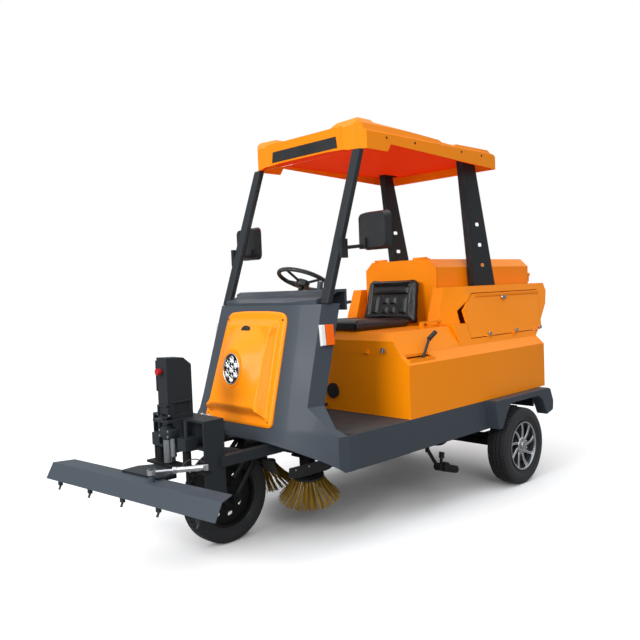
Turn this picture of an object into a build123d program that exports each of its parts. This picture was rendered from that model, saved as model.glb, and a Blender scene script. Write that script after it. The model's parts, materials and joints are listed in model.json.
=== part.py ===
"""Compact three-wheeled road sweeper with a front spray bar and an open cab.

Frame: X to the machine's left, Y to its rear, Z up; the origin is on the
ground below the middle of the whole length.  All lengths are millimetres.
"""
from build123d import *
from math import atan2, cos, hypot, radians, sin
import os

os.makedirs("parts", exist_ok=True)

# ---------------------------------------------------------------- driving sizes
rear_overhang = 880.0        # rear axle to the hood latch
wheelbase = 1984.0
front_overhang = 357.2       # front axle to the swivel pin of the spray bar
bar_yaw_deg = 6.3            # the parked bar is turned a little
bar_half = 680.0             # half length of the spray bar
bar_reach = 300.0            # swivel pin to the bar's lower front edge
track_half = 655.0           # middle of the machine to the middle of a rear tyre
fit_gap = 0.3                # between pieces that are seated on each other
move_gap = 6.0               # between pieces that move past each other
panel_t = 12.0               # doubled edge of the painted sheet panels

# the leading corner of the turned bar is the front end of the machine
corner_reach = bar_half * sin(radians(bar_yaw_deg)) + bar_reach * cos(radians(bar_yaw_deg))
overall_length = rear_overhang + wheelbase + front_overhang + corner_reach
rear_axle_y = overall_length / 2 - rear_overhang
front_axle_y = rear_axle_y - wheelbase
pivot_y = front_axle_y - front_overhang

# rear wheels
rear_tyre_r = 260.0
rear_tyre_w = 145.0
rear_rim_r = 166.0
rear_rim_t = 15.0
rear_hub_r = 52.0
rear_spokes = 9
axle_tube_r = 34.0
axle_flange_r = 62.0
axle_flange_t = 12.0

# front wheel
front_tyre_r = 260.0
front_tyre_w = 104.0
front_rim_r = 172.0
front_rim_t = 12.0
front_hub_r = 58.0
front_hub_w = 96.0
front_axle_r = 10.0

# lower body
body_half_w = 650.0
body_front_y = rear_axle_y - 1135.0
body_rear_y = rear_axle_y + 443.0
body_bottom_z = 612.3
body_side_z = 923.0          # top of the upright side
ledge_in = 62.0              # width of the sloping ledge
ledge_z = 980.0              # inner, upper edge of the ledge
front_seam_z = ledge_z       # seam below the seat lid

# shoulders beside the hood
shoulder_top_z = 1360.0
shoulder_top_half = 450.0
shoulder_in_half = 322.0
shoulder_rear_y = rear_axle_y + 830.0
shoulder_rear_low_z = 1200.0
shoulder_rear_low_y = rear_axle_y + 748.0
shoulder_fold_y = rear_axle_y - 262.0
wing_half = 403.0            # half width at the front edge of a shoulder
wing_top_y = rear_axle_y - 437.0
wing_low_y = rear_axle_y - 520.0
wing_low_z = 1118.0

# side doors in the shoulders
door_front_low_y = rear_axle_y - 372.0
door_front_low_z = 1022.0
door_front_mid_z = 1200.0
door_front_top_y = rear_axle_y - 196.0
door_top_z = 1308.0
door_rear_top_y = rear_axle_y + 700.0
door_rear_low_y = rear_axle_y + 560.0
door_hinge_z = 1024.0
door_hinge_r = 5.0
door_hinge_x = shoulder_top_half \
    + (shoulder_top_z - door_hinge_z) / (shoulder_top_z - ledge_z) * (body_half_w - ledge_in - shoulder_top_half) \
    + 1.5 + door_hinge_r
door_hinge_y = (rear_axle_y - 190.0, rear_axle_y + 130.0, rear_axle_y + 450.0)
knuckle_len = 34.0

# hood and the bulkhead in front of it
hood_half = 315.0
hood_top_half = 252.0
hood_top_z = 1556.0
hood_shoulder_z = 1497.0
bulkhead_y = rear_axle_y - 390.0
hood_rear_y = rear_axle_y + 842.0

# seat and its lid
lid_front_top_y = body_front_y + 40.0
lid_rear_y = rear_axle_y - 530.0
lid_top_z = 1110.0
lid_front_z = 1060.0
lid_half = body_half_w - ledge_in
lid_top_half = 505.0
lid_hinge_r = 7.0
lid_hinge_z = front_seam_z + fit_gap + lid_hinge_r
lid_hinge_x = (-330.0, 330.0)
seat_half = 262.0
cushion_front_y = body_front_y - 4.0
cushion_top_z = 1190.0
back_front_y = rear_axle_y - 565.0
back_top_z = 1458.0
back_t = 96.0
back_lean = 82.0

# floor, cowl and windscreen
floor_z = 612.0
floor_t = 26.0
cowl_t = 12.0
cowl_top_z = 1300.0
skirt_low_z = 422.0
skirt_front_y = body_front_y - 14.0
step_front_y = front_axle_y + 312.0
pillar_half = 440.0          # middle of a windscreen pillar
pillar_w = 62.0
pillar_d = 42.0
pillar_foot_y = front_axle_y + 406.0

# roof
roof_half = 484.0
roof_front_y = front_axle_y + 700.0
roof_rear_y = rear_axle_y + 120.0
pillar_head_y = roof_front_y + 14.0
roof_under_z = 2172.0
roof_top_z = 2322.0
roof_lobe_z = 2355.0

# rear posts
post_in = 326.0
post_out = 376.0
post_foot_front_y = rear_axle_y - 18.0
post_foot_rear_y = rear_axle_y + 250.0
post_head_front_y = rear_axle_y - 130.0
post_head_rear_y = rear_axle_y + 20.0
post_t = 8.0

# steering
rake_deg = 25.0
steer_wheel_y = front_axle_y + 662.0
steer_wheel_z = 1441.0
steer_wheel_r = 172.0
steer_rim_r = 13.0
crown_drop = 905.0           # down the steering axis, steering wheel to fork crown
head_len = 190.0
head_r = 38.0
stem_r = 17.0
fork_half = 88.0
fork_leg_r = 17.0
boss_low = 48.0              # lower face of the steering wheel's boss below its rim

# front mast, lift and spray bar
mast_half = 238.0
mast_t = 12.0
mast_front_y = front_axle_y - 291.0
mast_rear_y = front_axle_y - 166.0
mast_low_z = 352.0
mast_top_z = 742.0
arm_low_z = 497.0
arm_h = 54.0
guide_half = 122.0
guide_r = 10.0
guide_y = front_axle_y - 320.0
lift_r = 26.0
bar_low_z = 405.0
bar_face_in = 45.0
bar_top_d = 150.0
bar_t = 5.0
plate_t = 12.0


# ---------------------------------------------------------------- helpers
def block(x0, x1, y0, y1, z0, z1, mode=Mode.ADD):
    """A box between two corners."""
    with Locations(((x0 + x1) / 2, (y0 + y1) / 2, (z0 + z1) / 2)):
        Box(x1 - x0, y1 - y0, z1 - z0, mode=mode)


def prism_x(points, x0, x1, mode=Mode.ADD):
    """A (y, z) outline extruded from x0 to x1."""
    with BuildSketch(Plane.YZ.offset(x0)) as outline:
        with BuildLine():
            Polyline(*points, close=True)
        make_face()
    extrude(outline.sketch, amount=x1 - x0, mode=mode)


def prism_y(points, y0, y1, mode=Mode.ADD):
    """An (x, z) outline extruded from y0 to y1."""
    with BuildSketch(Plane.XZ.offset(-y1)) as outline:
        with BuildLine():
            Polyline(*points, close=True)
        make_face()
    extrude(outline.sketch, amount=y1 - y0, mode=mode)


def prism_z(points, z0, z1, mode=Mode.ADD):
    """An (x, y) outline extruded from z0 to z1."""
    with BuildSketch(Plane.XY.offset(z0)) as outline:
        with BuildLine():
            Polyline(*points, close=True)
        make_face()
    extrude(outline.sketch, amount=z1 - z0, mode=mode)


def rod(start, end, radius, mode=Mode.ADD):
    """A round bar from one point to another."""
    along = Vector(*end) - Vector(*start)
    with BuildSketch(Plane(origin=start, z_dir=along)) as section:
        Circle(radius)
    extrude(section.sketch, amount=along.length, mode=mode)


def ring(x, y, z, r_out, r_in, x_len, mode=Mode.ADD):
    """A ring about an axis along X that starts at x."""
    with BuildSketch(Plane.YZ.offset(x)) as section:
        with Locations((y, z)):
            Circle(r_out)
            Circle(r_in, mode=Mode.SUBTRACT)
    extrude(section.sketch, amount=x_len, mode=mode)


def symmetric(points):
    """A right-hand outline (x, y) closed with its mirror image."""
    return points + [(-x, y) for x, y in reversed(points)]


def save(shape, name):
    shape.label = name
    export_step(shape, f"parts/{name}.step")


def save_pair(shape, stem):
    """A left piece and its mirror image on the right."""
    save(shape, f"{stem}_left")
    save(mirror(shape, about=Plane.YZ), f"{stem}_right")


def shoulder_x(z):
    """Half width of the sloping shoulder side at a height."""
    share = (shoulder_top_z - z) / (shoulder_top_z - ledge_z)
    return shoulder_top_half + share * (body_half_w - ledge_in - shoulder_top_half)


# ---------------------------------------------------------------- chassis frame
rail_half = 370.0
rail_w = 40.0
rail_low_z = 440.0
rail_h = 80.0
rail_front_y = front_axle_y + 374.0
rail_rear_y = rear_axle_y + 380.0
rail_top_z = rail_low_z + rail_h
rake = radians(rake_deg)
crown_y = steer_wheel_y - crown_drop * sin(rake)
crown_z = steer_wheel_z - crown_drop * cos(rake)
steer_plane = Plane(origin=(0, crown_y, crown_z), x_dir=(1, 0, 0), z_dir=(0, sin(rake), cos(rake)))
head_bore_r = stem_r + 1.0
neck_half = 60.0
hanger_y = (rear_axle_y - 300.0, rear_axle_y + 300.0)
spring_half = 470.0
spring_w = 50.0
battery_half = rail_half - 45.0
battery_front_y = rear_axle_y - 880.0
battery_rear_y = rear_axle_y - 360.0
battery_low_z = 372.0
battery_top_z = 900.0
strap_t = 14.0

with BuildPart() as chassis_frame:
    for side in (-1, 1):
        rail_x = side * rail_half
        block(rail_x - rail_w / 2, rail_x + rail_w / 2, rail_front_y, rail_rear_y, rail_low_z, rail_top_z)
    for cross_y in (rail_front_y, battery_front_y - 60.0, battery_rear_y + 20.0, rail_rear_y - 40.0):
        block(-rail_half, rail_half, cross_y, cross_y + 40.0, rail_low_z, rail_top_z)
    # cradle under the battery
    for strap_y in (battery_front_y + 60.0, battery_rear_y - 120.0):
        block(-rail_half - rail_w / 2, rail_half + rail_w / 2, strap_y, strap_y + 60.0,
              battery_low_z - strap_t, battery_low_z)
        for side in (-1, 1):
            rail_x = side * rail_half
            block(rail_x - rail_w / 2, rail_x + rail_w / 2, strap_y, strap_y + 60.0,
                  battery_low_z - strap_t, rail_low_z)
    # outriggers that carry the lower body and the skirts
    for out_y in (body_front_y + 40.0, battery_rear_y + 20.0, rear_axle_y + 330.0):
        out_top = body_bottom_z - fit_gap if out_y > battery_front_y else floor_z - floor_t - fit_gap
        out_half = body_half_w - panel_t - fit_gap
        block(-out_half, out_half, out_y, out_y + 40.0, rail_top_z, out_top)
    # neck up to the steering head
    neck_back_y = rail_front_y + 40.0
    neck_points = [
        (neck_back_y, rail_low_z + 6.0),
        (neck_back_y, rail_top_z + 190.0),
        (crown_y + 120.0, crown_z + 200.0),
        (crown_y + 58.0, crown_z + 62.0),
    ]
    prism_x(neck_points, -neck_half, neck_half)
    block(-rail_half, rail_half, rail_front_y, rail_front_y + 40.0, rail_top_z - 2.0, rail_top_z + 40.0)
    # steering head tube
    with BuildSketch(steer_plane.offset(30.0)) as head_ring:
        Circle(head_r)
    extrude(head_ring.sketch, amount=head_len)
    with BuildSketch(steer_plane.offset(10.0)) as head_bore:
        Circle(head_bore_r)
    extrude(head_bore.sketch, amount=head_len + 60.0, mode=Mode.SUBTRACT)
    # leaf springs with their hangers and the axle seats
    for side in (-1, 1):
        spring_in = side * spring_half - spring_w / 2
        spring_out = side * spring_half + spring_w / 2
        for y in hanger_y:
            block(min(side * rail_half, spring_out), max(side * rail_half, spring_in + spring_w),
                  y - 16.0, y + 16.0, 372.0, rail_low_z + 30.0)
        leaf = [
            (hanger_y[0] - 16.0, 372.0),
            (rear_axle_y - 60.0, rear_tyre_r + axle_tube_r + 8.0),
            (rear_axle_y + 60.0, rear_tyre_r + axle_tube_r + 8.0),
            (hanger_y[1] + 16.0, 372.0),
            (hanger_y[1] + 16.0, 390.0),
            (rear_axle_y + 60.0, rear_tyre_r + axle_tube_r + 38.0),
            (rear_axle_y - 60.0, rear_tyre_r + axle_tube_r + 38.0),
            (hanger_y[0] - 16.0, 390.0),
        ]
        prism_x(leaf, spring_in, spring_out)
save(chassis_frame.part, "chassis_frame")

# ---------------------------------------------------------------- rear axle with motor
hub_face_x = track_half - 48.0
with BuildPart() as rear_axle:
    rod((-hub_face_x, rear_axle_y, rear_tyre_r), (hub_face_x, rear_axle_y, rear_tyre_r), axle_tube_r)
    with Locations((0, rear_axle_y, rear_tyre_r)):
        Sphere(96.0)
    rod((0, rear_axle_y, rear_tyre_r), (0, rear_axle_y - 250.0, rear_tyre_r + 24.0), 74.0)
    for side in (-1, 1):
        rod((side * (hub_face_x - axle_flange_t), rear_axle_y, rear_tyre_r),
            (side * hub_face_x, rear_axle_y, rear_tyre_r), axle_flange_r)
        rod((side * (hub_face_x - 60.0), rear_axle_y, rear_tyre_r),
            (side * (hub_face_x - axle_flange_t), rear_axle_y, rear_tyre_r), 112.0)
        block(side * spring_half - spring_w / 2, side * spring_half + spring_w / 2,
              rear_axle_y - 46.0, rear_axle_y + 46.0, rear_tyre_r, rear_tyre_r + axle_tube_r + 8.0 - fit_gap)
save(rear_axle.part, "rear_axle")

# ---------------------------------------------------------------- battery
with BuildPart() as battery_pack:
    block(-battery_half, battery_half, battery_front_y, battery_rear_y, battery_low_z + fit_gap,
        battery_top_z)
save(battery_pack.part, "battery_pack")


# ---------------------------------------------------------------- wheels
def tyre(axle_x, axle_y, radius, width, bead_r):
    """A tyre without its tread, about an axle along X."""
    half = width / 2
    section = [
        (-0.80 * half, bead_r),
        (-half, bead_r + 0.42 * (radius - bead_r)),
        (-0.90 * half, radius - 0.16 * (radius - bead_r)),
        (-0.70 * half, radius),
        (0.70 * half, radius),
        (0.90 * half, radius - 0.16 * (radius - bead_r)),
        (half, bead_r + 0.42 * (radius - bead_r)),
        (0.80 * half, bead_r),
    ]
    with BuildPart() as made:
        plane = Plane(origin=(axle_x, axle_y, radius), x_dir=(1, 0, 0), z_dir=(0, -1, 0))
        with BuildSketch(plane) as outline:
            with BuildLine():
                Polyline(*section, close=True)
            make_face()
        revolve(outline.sketch, axis=Axis((axle_x, axle_y, radius), (1, 0, 0)))
    return made.part


rear_wheel_in = track_half - 58.0
rear_face_x = track_half + 62.0
spoke_t = 26.0
with BuildPart() as rear_rim:
    ring(rear_wheel_in, rear_axle_y, rear_tyre_r, rear_rim_r - fit_gap, rear_rim_r - rear_rim_t,
         rear_face_x - rear_wheel_in)
    ring(hub_face_x + fit_gap, rear_axle_y, rear_tyre_r, rear_hub_r, 1e-3,
        rear_face_x - 4.0 - hub_face_x - fit_gap)
    ring(rear_face_x - 8.0, rear_axle_y, rear_tyre_r, 31.0, 1e-3, 8.0)
    # swirled spokes: (radius, angle) of the two edges, from hub to rim
    spoke_edges = [
        (rear_hub_r - 6.0, -13.0, 13.0),
        (96.0, -2.5, 9.0),
        (rear_rim_r - rear_rim_t + 4.0, 4.0, 15.5),
    ]
    lower = [(r, a) for r, a, b in spoke_edges]
    upper = [(r, b) for r, a, b in reversed(spoke_edges)]
    for turn in range(rear_spokes):
        base = 360.0 * turn / rear_spokes
        corners = [
            (rear_axle_y + r * cos(radians(a + base)), rear_tyre_r + r * sin(radians(a + base)))
            for r, a in lower + upper
        ]
        prism_x(corners, rear_face_x - 10.0 - spoke_t, rear_face_x - 10.0)
save_pair(rear_rim.part, "rim_rear")
save_pair(tyre(track_half, rear_axle_y, rear_tyre_r, rear_tyre_w, rear_rim_r), "tyre_rear")

front_hole_r = 112.0
front_holes = 8
with BuildPart() as front_rim:
    front_rim_half = 0.8 * front_tyre_w / 2 - 1.0
    ring(-front_rim_half, front_axle_y, front_tyre_r, front_rim_r - fit_gap, front_rim_r - front_rim_t,
         2 * front_rim_half)
    ring(-6.0, front_axle_y, front_tyre_r, front_rim_r - front_rim_t + 2.0, front_axle_r + 1.0, 12.0)
    ring(-front_hub_w / 2, front_axle_y, front_tyre_r, front_hub_r, front_axle_r + 1.0, front_hub_w)
    ring(-front_hub_w / 2 + 8.0, front_axle_y, front_tyre_r, front_hub_r + 26.0, front_axle_r + 1.0, 34.0)
    with BuildSketch(Plane.YZ.offset(-8.0)) as holes:
        with Locations((front_axle_y, front_tyre_r)):
            with PolarLocations(front_hole_r, front_holes, start_angle=12.0):
                SlotCenterToCenter(14.0, 24.0, rotation=90.0)
    extrude(holes.sketch, amount=16.0, mode=Mode.SUBTRACT)
save(front_rim.part, "rim_front")
save(tyre(0.0, front_axle_y, front_tyre_r, front_tyre_w, front_rim_r), "tyre_front")

# ---------------------------------------------------------------- front fork and stem
axle_drop = (crown_z - front_tyre_r) / cos(rake)
with BuildPart() as front_fork:
    with BuildSketch(steer_plane.offset(-14.0)) as crown:
        RectangleRounded(2 * fork_half + 44.0, 74.0, 20.0)
    extrude(crown.sketch, amount=34.0)
    with BuildSketch(steer_plane.offset(10.0)) as stem:
        Circle(stem_r)
    extrude(stem.sketch, amount=crown_drop - boss_low - 10.0 - fit_gap)
    for side in (-1, 1):
        rod((side * fork_half, crown_y, crown_z), (side * fork_half, front_axle_y, front_tyre_r), fork_leg_r)
        rod((side * (fork_half - fork_leg_r), front_axle_y, front_tyre_r),
            (side * (fork_half + fork_leg_r + 4.0), front_axle_y, front_tyre_r), 26.0)
        # suspension strut in front of each leg
        rod((side * fork_half, crown_y - 24.0, crown_z - 6.0),
            (side * fork_half, front_axle_y - 8.0, front_tyre_r + 110.0), 13.0)
    rod((-fork_half - 30.0, front_axle_y, front_tyre_r),
        (fork_half + 30.0, front_axle_y, front_tyre_r), front_axle_r)
save(front_fork.part, "front_fork")

# ---------------------------------------------------------------- steering wheel
wheel_top = crown_drop
with BuildPart() as steering_wheel:
    with Locations(steer_plane.offset(wheel_top).location):
        Torus(steer_wheel_r - steer_rim_r, steer_rim_r, rotation=(0, 0, 45))
    with BuildSketch(steer_plane.offset(wheel_top - boss_low)) as boss:
        Circle(42.0)
    extrude(boss.sketch, amount=40.0)
    for spoke_angle in (0.0, 180.0, 270.0):
        spoke_r = steer_wheel_r - 1.4 * steer_rim_r
        end_x = spoke_r * cos(radians(spoke_angle))
        end_y = spoke_r * sin(radians(spoke_angle))
        start = steer_plane.from_local_coords((0.18 * end_x, 0.18 * end_y, wheel_top - 22.0))
        end = steer_plane.from_local_coords((end_x, end_y, wheel_top - 1.0))
        rod(tuple(start), tuple(end), 8.0)
save(steering_wheel.part, "steering_wheel")


# ---------------------------------------------------------------- floor
floor_half = body_half_w - panel_t - fit_gap
with BuildPart() as floor_pan:
    floor_outline = symmetric([
        (floor_half, body_front_y + 70.0),
        (floor_half, step_front_y + 92.0),
        (floor_half - 40.0, step_front_y + 48.0),
        (430.0, front_axle_y + 394.0),
        (300.0, front_axle_y + 444.0),
    ])
    prism_z(floor_outline, floor_z - floor_t, floor_z)
    # opening for the steering head
    block(-neck_half - move_gap, neck_half + move_gap, front_axle_y + 184.0, front_axle_y + 454.0,
          floor_z - 60.0, floor_z + 20.0, mode=Mode.SUBTRACT)
save(floor_pan.part, "floor_pan")

# ---------------------------------------------------------------- lower body
tray_front_y = body_front_y + 34.0
tray_rear_y = body_front_y + 260.0
tray_drop = 46.0
with BuildPart() as lower_body:
    body_section = symmetric([
        (body_half_w, body_bottom_z),
        (body_half_w, body_side_z),
        (body_half_w - ledge_in, ledge_z),
    ])
    prism_y(body_section, body_front_y, body_rear_y)
    inner_section = symmetric([
        (body_half_w - panel_t, body_bottom_z - 1.0),
        (body_half_w - panel_t, body_side_z - 0.4 * panel_t),
        (body_half_w - ledge_in - 0.4 * panel_t, ledge_z - panel_t),
    ])
    prism_y(inner_section, body_front_y + panel_t, body_rear_y - panel_t, mode=Mode.SUBTRACT)
    # hand brake trays, let into the front of both ledges
    for side in (-1, 1):
        tray_out = side * (body_half_w - 16.0)
        tray_in = side * (body_half_w - ledge_in + 2.0)
        block(min(tray_out, tray_in) - 4.0, max(tray_out, tray_in) + 4.0, tray_front_y - 8.0,
            tray_rear_y + 8.0,
              ledge_z - tray_drop - 26.0, ledge_z - 26.0)
        block(min(tray_out, tray_in), max(tray_out, tray_in), tray_front_y, tray_rear_y,
              ledge_z - tray_drop - 20.0, ledge_z + 20.0, mode=Mode.SUBTRACT)
save(lower_body.part, "lower_body")

# ---------------------------------------------------------------- shoulders
def shoulder_outline(inset):
    """Section (x, z) of a shoulder; inset is the wall left outside it."""
    slope = hypot(1.0, (shoulder_x(ledge_z) - shoulder_x(shoulder_top_z)) / (shoulder_top_z - ledge_z))
    side = inset * slope
    return [
        (shoulder_in_half + inset, shoulder_top_z - inset),
        (shoulder_x(shoulder_top_z - inset) - side, shoulder_top_z - inset),
        (shoulder_x(ledge_z + inset) - side, ledge_z + fit_gap + inset),
        (shoulder_in_half + inset, ledge_z + fit_gap + inset),
    ]


def door_outline(grow):
    """Outline (y, z) of a shoulder door; grow widens it all round."""
    return [
        (door_front_low_y - grow, door_front_low_z - grow),
        (door_front_low_y - grow + 6.0, door_front_mid_z),
        (door_front_top_y - grow, door_top_z + grow),
        (door_rear_top_y + grow, door_top_z + grow),
        (door_rear_low_y + grow, door_front_low_z - grow),
    ]


door_t = 14.0
door_gap = 5.5
with BuildPart() as shoulder:
    prism_y(shoulder_outline(0.0), shoulder_fold_y, shoulder_rear_y)
    # facet ahead of the fold, up to the slanted front edge
    wing_run = hypot(wing_top_y - wing_low_y, shoulder_top_z - wing_low_z)
    wing_plane = Plane(
        origin=(0, wing_low_y, wing_low_z),
        x_dir=(1, 0, 0),
        z_dir=(0, -(shoulder_top_z - wing_low_z), wing_top_y - wing_low_y),
    )
    fold_plane = Plane.XZ.offset(-shoulder_fold_y)
    with BuildSketch(fold_plane) as wing_back:
        with BuildLine():
            Polyline(
                (shoulder_in_half, shoulder_top_z),
                (shoulder_top_half, shoulder_top_z),
                (shoulder_x(wing_low_z), wing_low_z),
                (shoulder_in_half, wing_low_z),
                close=True,
            )
        make_face()
    with BuildSketch(wing_plane) as wing_front:
        with BuildLine():
            Polyline(
                (shoulder_in_half, wing_run),
                (wing_half, wing_run),
                (wing_half + 14.0, 0.0),
                (shoulder_in_half, 0.0),
                close=True,
            )
        make_face()
    loft([wing_front.sketch.face(), wing_back.sketch.face()], ruled=True)
    # foot of the facet behind the seat lid
    prism_y(
        [
            (shoulder_in_half, ledge_z + fit_gap),
            (shoulder_x(ledge_z), ledge_z + fit_gap),
            (shoulder_x(wing_low_z), wing_low_z),
            (shoulder_in_half, wing_low_z),
        ],
        lid_rear_y + move_gap,
        shoulder_fold_y,
    )
    # the tail is cut back below
    tail_cut = [
        (shoulder_rear_y + 1.0, shoulder_top_z - 60.0),
        (shoulder_rear_y, shoulder_top_z - 60.0),
        (shoulder_rear_low_y, shoulder_rear_low_z),
        (body_rear_y + 4.0, ledge_z),
        (body_rear_y + 4.0, ledge_z - 60.0),
        (shoulder_rear_y + 1.0, ledge_z - 60.0),
    ]
    prism_x(tail_cut, shoulder_in_half - 1.0, body_half_w, mode=Mode.SUBTRACT)
    # hollow inside, open at the bottom towards the lower body
    prism_y(
        [
            (shoulder_in_half + panel_t, shoulder_top_z - panel_t),
            (shoulder_x(shoulder_top_z) - 1.3 * panel_t, shoulder_top_z - panel_t),
            (shoulder_x(ledge_z) - 1.3 * panel_t, ledge_z - 1.0),
            (shoulder_in_half + panel_t, ledge_z - 1.0),
        ],
        shoulder_fold_y + 6.0,
        body_rear_y - panel_t,
        mode=Mode.SUBTRACT,
    )
    prism_x(
        [
            (body_rear_y - panel_t - 1.0, shoulder_top_z - panel_t),
            (shoulder_rear_y - panel_t, shoulder_top_z - panel_t),
            (shoulder_rear_low_y - 1.4 * panel_t, shoulder_rear_low_z),
            (body_rear_y - panel_t - 1.0, ledge_z + 2.0 * panel_t),
        ],
        shoulder_in_half + panel_t,
        shoulder_top_half - 1.4 * panel_t,
        mode=Mode.SUBTRACT,
    )
    prism_x(door_outline(door_gap), shoulder_in_half + panel_t, body_half_w, mode=Mode.SUBTRACT)
    for y in door_hinge_y:
        rod((door_hinge_x, y, door_hinge_z), (door_hinge_x, y + knuckle_len, door_hinge_z), door_hinge_r)
        block(door_hinge_x - 4.0, door_hinge_x + 4.0, y, y + knuckle_len, door_front_low_z - 16.0,
            door_hinge_z)
save_pair(shoulder.part, "side_panel")

# door: the same slope, with a raised upper lip, hinges and a lock plate
with BuildPart() as side_door:
    outer = [
        (shoulder_x(shoulder_top_z) + 1.0, shoulder_top_z),
        (shoulder_x(ledge_z) + 1.0, ledge_z),
        (shoulder_x(ledge_z) + 1.0 - door_t, ledge_z),
        (shoulder_x(shoulder_top_z) + 1.0 - door_t, shoulder_top_z),
    ]
    prism_y(outer, shoulder_fold_y - 300.0, shoulder_rear_y)
    with BuildSketch(Plane.YZ.offset(shoulder_in_half)) as keep:
        with BuildLine():
            Polyline(*door_outline(0.0), close=True)
        make_face()
    extrude(keep.sketch, amount=body_half_w - shoulder_in_half, mode=Mode.INTERSECT)
    lip_x = shoulder_x(door_top_z - 14.0)
    block(lip_x - 6.0, lip_x + 9.0, door_front_top_y + 20.0, door_rear_top_y - 12.0,
        door_top_z - 22.0, door_top_z - 6.0)
    lock_x = shoulder_x(door_top_z - 50.0)
    block(lock_x - 10.0, lock_x + 4.0, rear_axle_y + 130.0, rear_axle_y + 240.0, door_top_z - 72.0,
        door_top_z - 34.0)
    for hinge_end in door_hinge_y:
        y = hinge_end + knuckle_len + fit_gap
        rod((door_hinge_x, y, door_hinge_z), (door_hinge_x, y + knuckle_len, door_hinge_z), door_hinge_r)
        block(door_hinge_x - 10.0, door_hinge_x, y, y + knuckle_len, door_hinge_z, door_hinge_z + 10.0)
save_pair(side_door.part, "side_door")

# ---------------------------------------------------------------- bulkhead and hood
bulkhead_t = 14.0
hinge_r = 7.0
hinge_y = bulkhead_y + bulkhead_t - 1.0
hinge_z = hood_top_z + hinge_r + 2.0
with BuildPart() as bulkhead:
    prism_y(
        symmetric([
            (hood_half, ledge_z + fit_gap),
            (hood_half, hood_shoulder_z),
            (hood_top_half, hood_top_z),
        ]),
        bulkhead_y,
        bulkhead_y + bulkhead_t,
    )
    for side in (-1, 1):
        knuckle = (side * 120.0, side * 178.0)
        rod((knuckle[0], hinge_y, hinge_z), (knuckle[1], hinge_y, hinge_z), hinge_r)
        block(min(knuckle), max(knuckle), bulkhead_y + 2.0, hinge_y, hood_top_z - 4.0, hinge_z)
save(bulkhead.part, "bulkhead")

hood_front_y = bulkhead_y + bulkhead_t + 4.0
hood_low_lip_z = ledge_z + 330.0
with BuildPart() as hood:
    prism_y(
        symmetric([(hood_half, hood_low_lip_z), (hood_half, hood_shoulder_z), (hood_top_half, hood_top_z)]),
        hood_front_y,
        hood_rear_y,
    )
    prism_y(
        symmetric([
            (hood_half - panel_t, hood_low_lip_z - 1.0),
            (hood_half - panel_t, hood_shoulder_z - 0.4 * panel_t),
            (hood_top_half - 0.4 * panel_t, hood_top_z - panel_t),
        ]),
        hood_front_y - 1.0,
        hood_rear_y - panel_t,
        mode=Mode.SUBTRACT,
    )
    for side in (-1, 1):
        knuckle = (side * 178.3, side * 236.0)
        rod((knuckle[0], hinge_y, hinge_z), (knuckle[1], hinge_y, hinge_z), hinge_r)
        block(min(knuckle), max(knuckle), hinge_y + 2.0, hinge_y + 34.0, hood_top_z - 1.0, hinge_z - 2.0)
    # latches at the rear corners, the rearmost points of the machine
    for side in (-1, 1):
        latch_x = side * (hood_half - 18.0)
        block(latch_x - 14.0, latch_x + 14.0, hood_rear_y - 2.0, rear_axle_y + rear_overhang,
              hood_low_lip_z + 106.0, hood_low_lip_z + 134.0)
        block(latch_x - 6.0, latch_x + 6.0, rear_axle_y + rear_overhang - 12.0, rear_axle_y + rear_overhang,
              hood_low_lip_z + 64.0, hood_low_lip_z + 108.0)
save(hood.part, "hood")

# ---------------------------------------------------------------- tail below the hood
with BuildPart() as tail_panel:
    tail_half = shoulder_in_half - 1.0
    tail_points = [
        (body_rear_y - 40.0, ledge_z + fit_gap),
        (body_rear_y + 4.0, ledge_z + fit_gap),
        (shoulder_rear_low_y, shoulder_rear_low_z),
        (shoulder_rear_y, hood_low_lip_z - move_gap),
        (shoulder_rear_y - panel_t, hood_low_lip_z - move_gap),
        (shoulder_rear_low_y - 1.3 * panel_t, shoulder_rear_low_z + 4.0),
        (body_rear_y - 6.0, ledge_z + fit_gap + panel_t),
        (body_rear_y - 40.0, ledge_z + fit_gap + panel_t),
    ]
    prism_x(tail_points, -tail_half, tail_half)
    # lip that the closed hood rests on
    block(-hood_half, hood_half, shoulder_rear_y - panel_t, hood_rear_y - 1.0,
          hood_low_lip_z - 12.0, hood_low_lip_z - fit_gap)
save(tail_panel.part, "tail_panel")

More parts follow.
